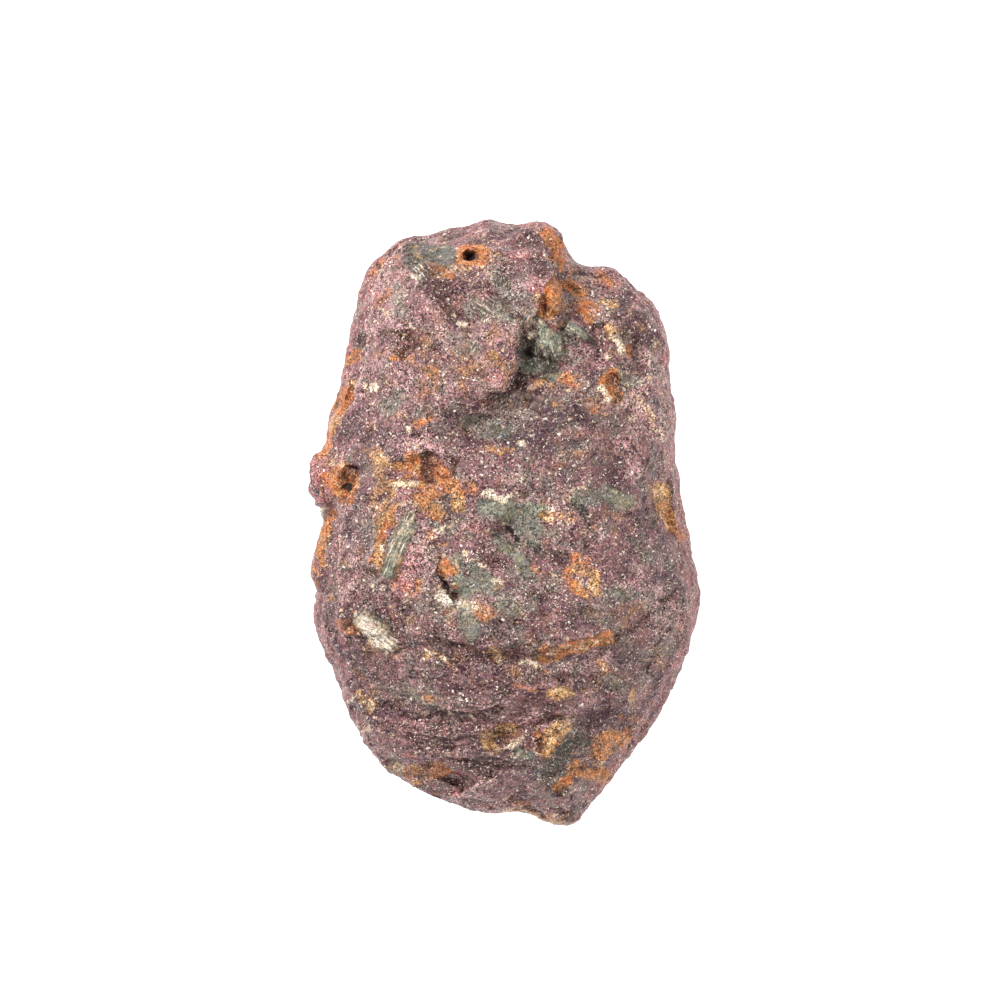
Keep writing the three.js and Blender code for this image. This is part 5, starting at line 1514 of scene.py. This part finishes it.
# %% Flashes, and the black pits
sparkly = (sugar * 0.6 + fine_b * 0.25 + small_a * 0.3).ramp(0.0, 1.0)
spark_a, spark_b = grains(SPARK_SIZE).parts()[:2]
big_a, big_b = grains(BIG_SPARK_SIZE).parts()[:2]
flash = (spark_a + sparkly * 0.03).ramp(0.978, 0.983) * (0.35 + spark_b * 0.65)
flash = flash.at_least((big_a + sparkly * 0.006).ramp(0.992, 0.994) * (0.4 + big_b * 0.6))
for part, angle in enumerate(NEEDLE_ANGLES):
    turned = Field.node(
        "ShaderNodeVectorRotate", {"rotation_type": "Z_AXIS"}, {"Vector": place, "Angle": angle})
    needle_values = {"Vector": vector("DIVIDE", turned, NEEDLE), "Scale": 1.0}
    needle = Field.node("ShaderNodeTexVoronoi", {}, needle_values, "Color").parts()
    lit = (needle[part] + sparkly * 0.007).ramp(0.99, 0.994) * (0.15 + needle[part - 1] * 0.75)
    flash = flash.at_least(lit)
hushed = rust.at_least(green.at_least(dark_green)).ramp(0.2, 0.9)
colour = colour.mix(SPARK, flash * (1 - hushed * 0.55))
# Black in the pits, and painted shadow beside the green crystal.
colour = colour.mix(BLACK_AND_SHADOW_TONE, (black + ragged).ramp(*SHOWS) * 0.97)
print("nodes with the flashes:", len(ruby.node_tree.nodes))

# %% [markdown]
# ## Tipped faces, and the shader
# Bump alone makes round dimples, but a grain is flat and tilted. So the surface's direction is tipped by
# the random colour of its grain, its cluster and its chip, and a fine bump for the stripes and hairlines
# goes on top. Corundum bends light strongly, but most of these faces are dull, so the shine is kept low.

# %% The shader
BUMP_HEIGHT = 0.1 * MM
CORUNDUM_IOR = 1.76
SHINE = 0.2  # 0.5 would be the full reflection of a polished face

tipped = Field.node("ShaderNodeNewGeometry", output="Normal")
for facets, tilt in ((grain, 0.8), (cluster, 0.28), (chip, 0.28)):
    tipped = vector("ADD", tipped, vector("SUBTRACT", facets, MIDDLE_GREY).scaled(rough * tilt))
tipped = Field.node("ShaderNodeVectorMath", {"operation": "NORMALIZE"}, {0: tipped})
bumps = (
    fine_a * 0.2 + stripe * striped * 0.3 + streak_a * sheets_here * 0.3 + small_a * 0.3
    + highlight_line * 0.3 - dark_line * 0.4
)
bumped = Field.node(
    "ShaderNodeBump", {}, {"Strength": 1.0, "Distance": BUMP_HEIGHT, "Height": bumps, "Normal": tipped})
roughness = 0.3 + grain_a * 0.25 + (rust + ragged).ramp(*SHOWS) * 0.25
shader = Field.node("ShaderNodeBsdfPrincipled", {}, {
    "IOR": CORUNDUM_IOR, "Specular IOR Level": SHINE,
    "Base Color": colour, "Roughness": roughness, "Normal": bumped,
})
Field.node("ShaderNodeOutputMaterial", {}, {"Surface": shader}, output=())
stone.data.materials.clear()
stone.data.materials.append(ruby)
print("the finished material has", len(ruby.node_tree.nodes), "nodes")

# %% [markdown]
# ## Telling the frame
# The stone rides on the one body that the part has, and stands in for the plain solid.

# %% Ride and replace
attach(stone, "root")
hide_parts("ruby")

# %% [markdown]
# ## The table, the light and the camera
# Stones for sale are shown on white, from straight above, with soft light that comes from the upper left.
# The white table glows a little, as a light table does, so that no hard shadow falls beside the stone.

# %% Table
TABLE_SIZE = 3.0  # metres
TABLE_GAP = 0.01 * MM  # keeps the table off the resting face, which would flicker in it from below
PAPER = 0.9  # the grey of white paper
PAPER_GLOW = 0.65

table_shape = bmesh.new()
bmesh.ops.create_grid(table_shape, x_segments=1, y_segments=1, size=TABLE_SIZE / 2)
bmesh.ops.translate(table_shape, verts=table_shape.verts, vec=(0, 0, -TABLE_GAP))
table_mesh = bpy.data.meshes.new("table")
table_shape.to_mesh(table_mesh)
table_shape.free()
table = add_object("table", table_mesh)
white = bpy.data.materials.new("white table")
white.use_nodes = True
paper = white.node_tree.nodes["Principled BSDF"]
paper.inputs["Base Color"].default_value = (PAPER, PAPER, PAPER, 1)
paper.inputs["Roughness"].default_value = 0.7
paper.inputs["Emission Color"].default_value = (1, 1, 1, 1)
paper.inputs["Emission Strength"].default_value = PAPER_GLOW
table.data.materials.append(white)
print("table:", TABLE_SIZE, "m wide, glow", PAPER_GLOW)

# %% Lights
LAMPS = [
    # name, place in metres, size in metres, power in watts
    ("window lamp", (-0.28, 0.24, 0.34), 0.12, 3.2),
    ("broad lamp", (0.34, -0.16, 0.36), 0.4, 1.9),
]
SKY_STRENGTH = 0.44

for name, lamp_place, size, power in LAMPS:
    light = bpy.data.lights.new(name, "AREA")
    light.size = size
    light.energy = power
    lamp = add_object(name, light)
    lamp.location = lamp_place
    aim = Vector((0, 0, WIDEST_LEVEL * MM)) - Vector(lamp_place)
    lamp.rotation_euler = aim.to_track_quat("-Z", "Y").to_euler()
world = bpy.data.worlds.new("studio")
bpy.context.scene.world = world
world.use_nodes = True
sky = world.node_tree.nodes["Background"]
sky.inputs["Color"].default_value = (1, 1, 1, 1)
sky.inputs["Strength"].default_value = SKY_STRENGTH
print("lamps:", len(LAMPS), "and a white sky of strength", SKY_STRENGTH)

# %% Camera
CAMERA_HEIGHT = 0.5  # metres above the widest level
PICTURE_WIDTH = 50.0 * MM  # what the picture takes in at that level
SENSOR = 36.0  # mm
LOOK_AT = (-0.25 * MM, 1.1 * MM)
CLIP_RANGE = (0.01, 10)  # metres

camera_data = bpy.data.cameras.new("camera")
camera_data.sensor_width = SENSOR
camera_data.lens = SENSOR * CAMERA_HEIGHT / PICTURE_WIDTH
camera_data.clip_start, camera_data.clip_end = CLIP_RANGE
camera = add_object("camera", camera_data)
camera.location = (*LOOK_AT, CAMERA_HEIGHT + WIDEST_LEVEL * MM)
bpy.context.scene.camera = camera
bpy.context.scene.view_settings.view_transform = "Standard"
print("lens:", round(camera_data.lens), "mm")
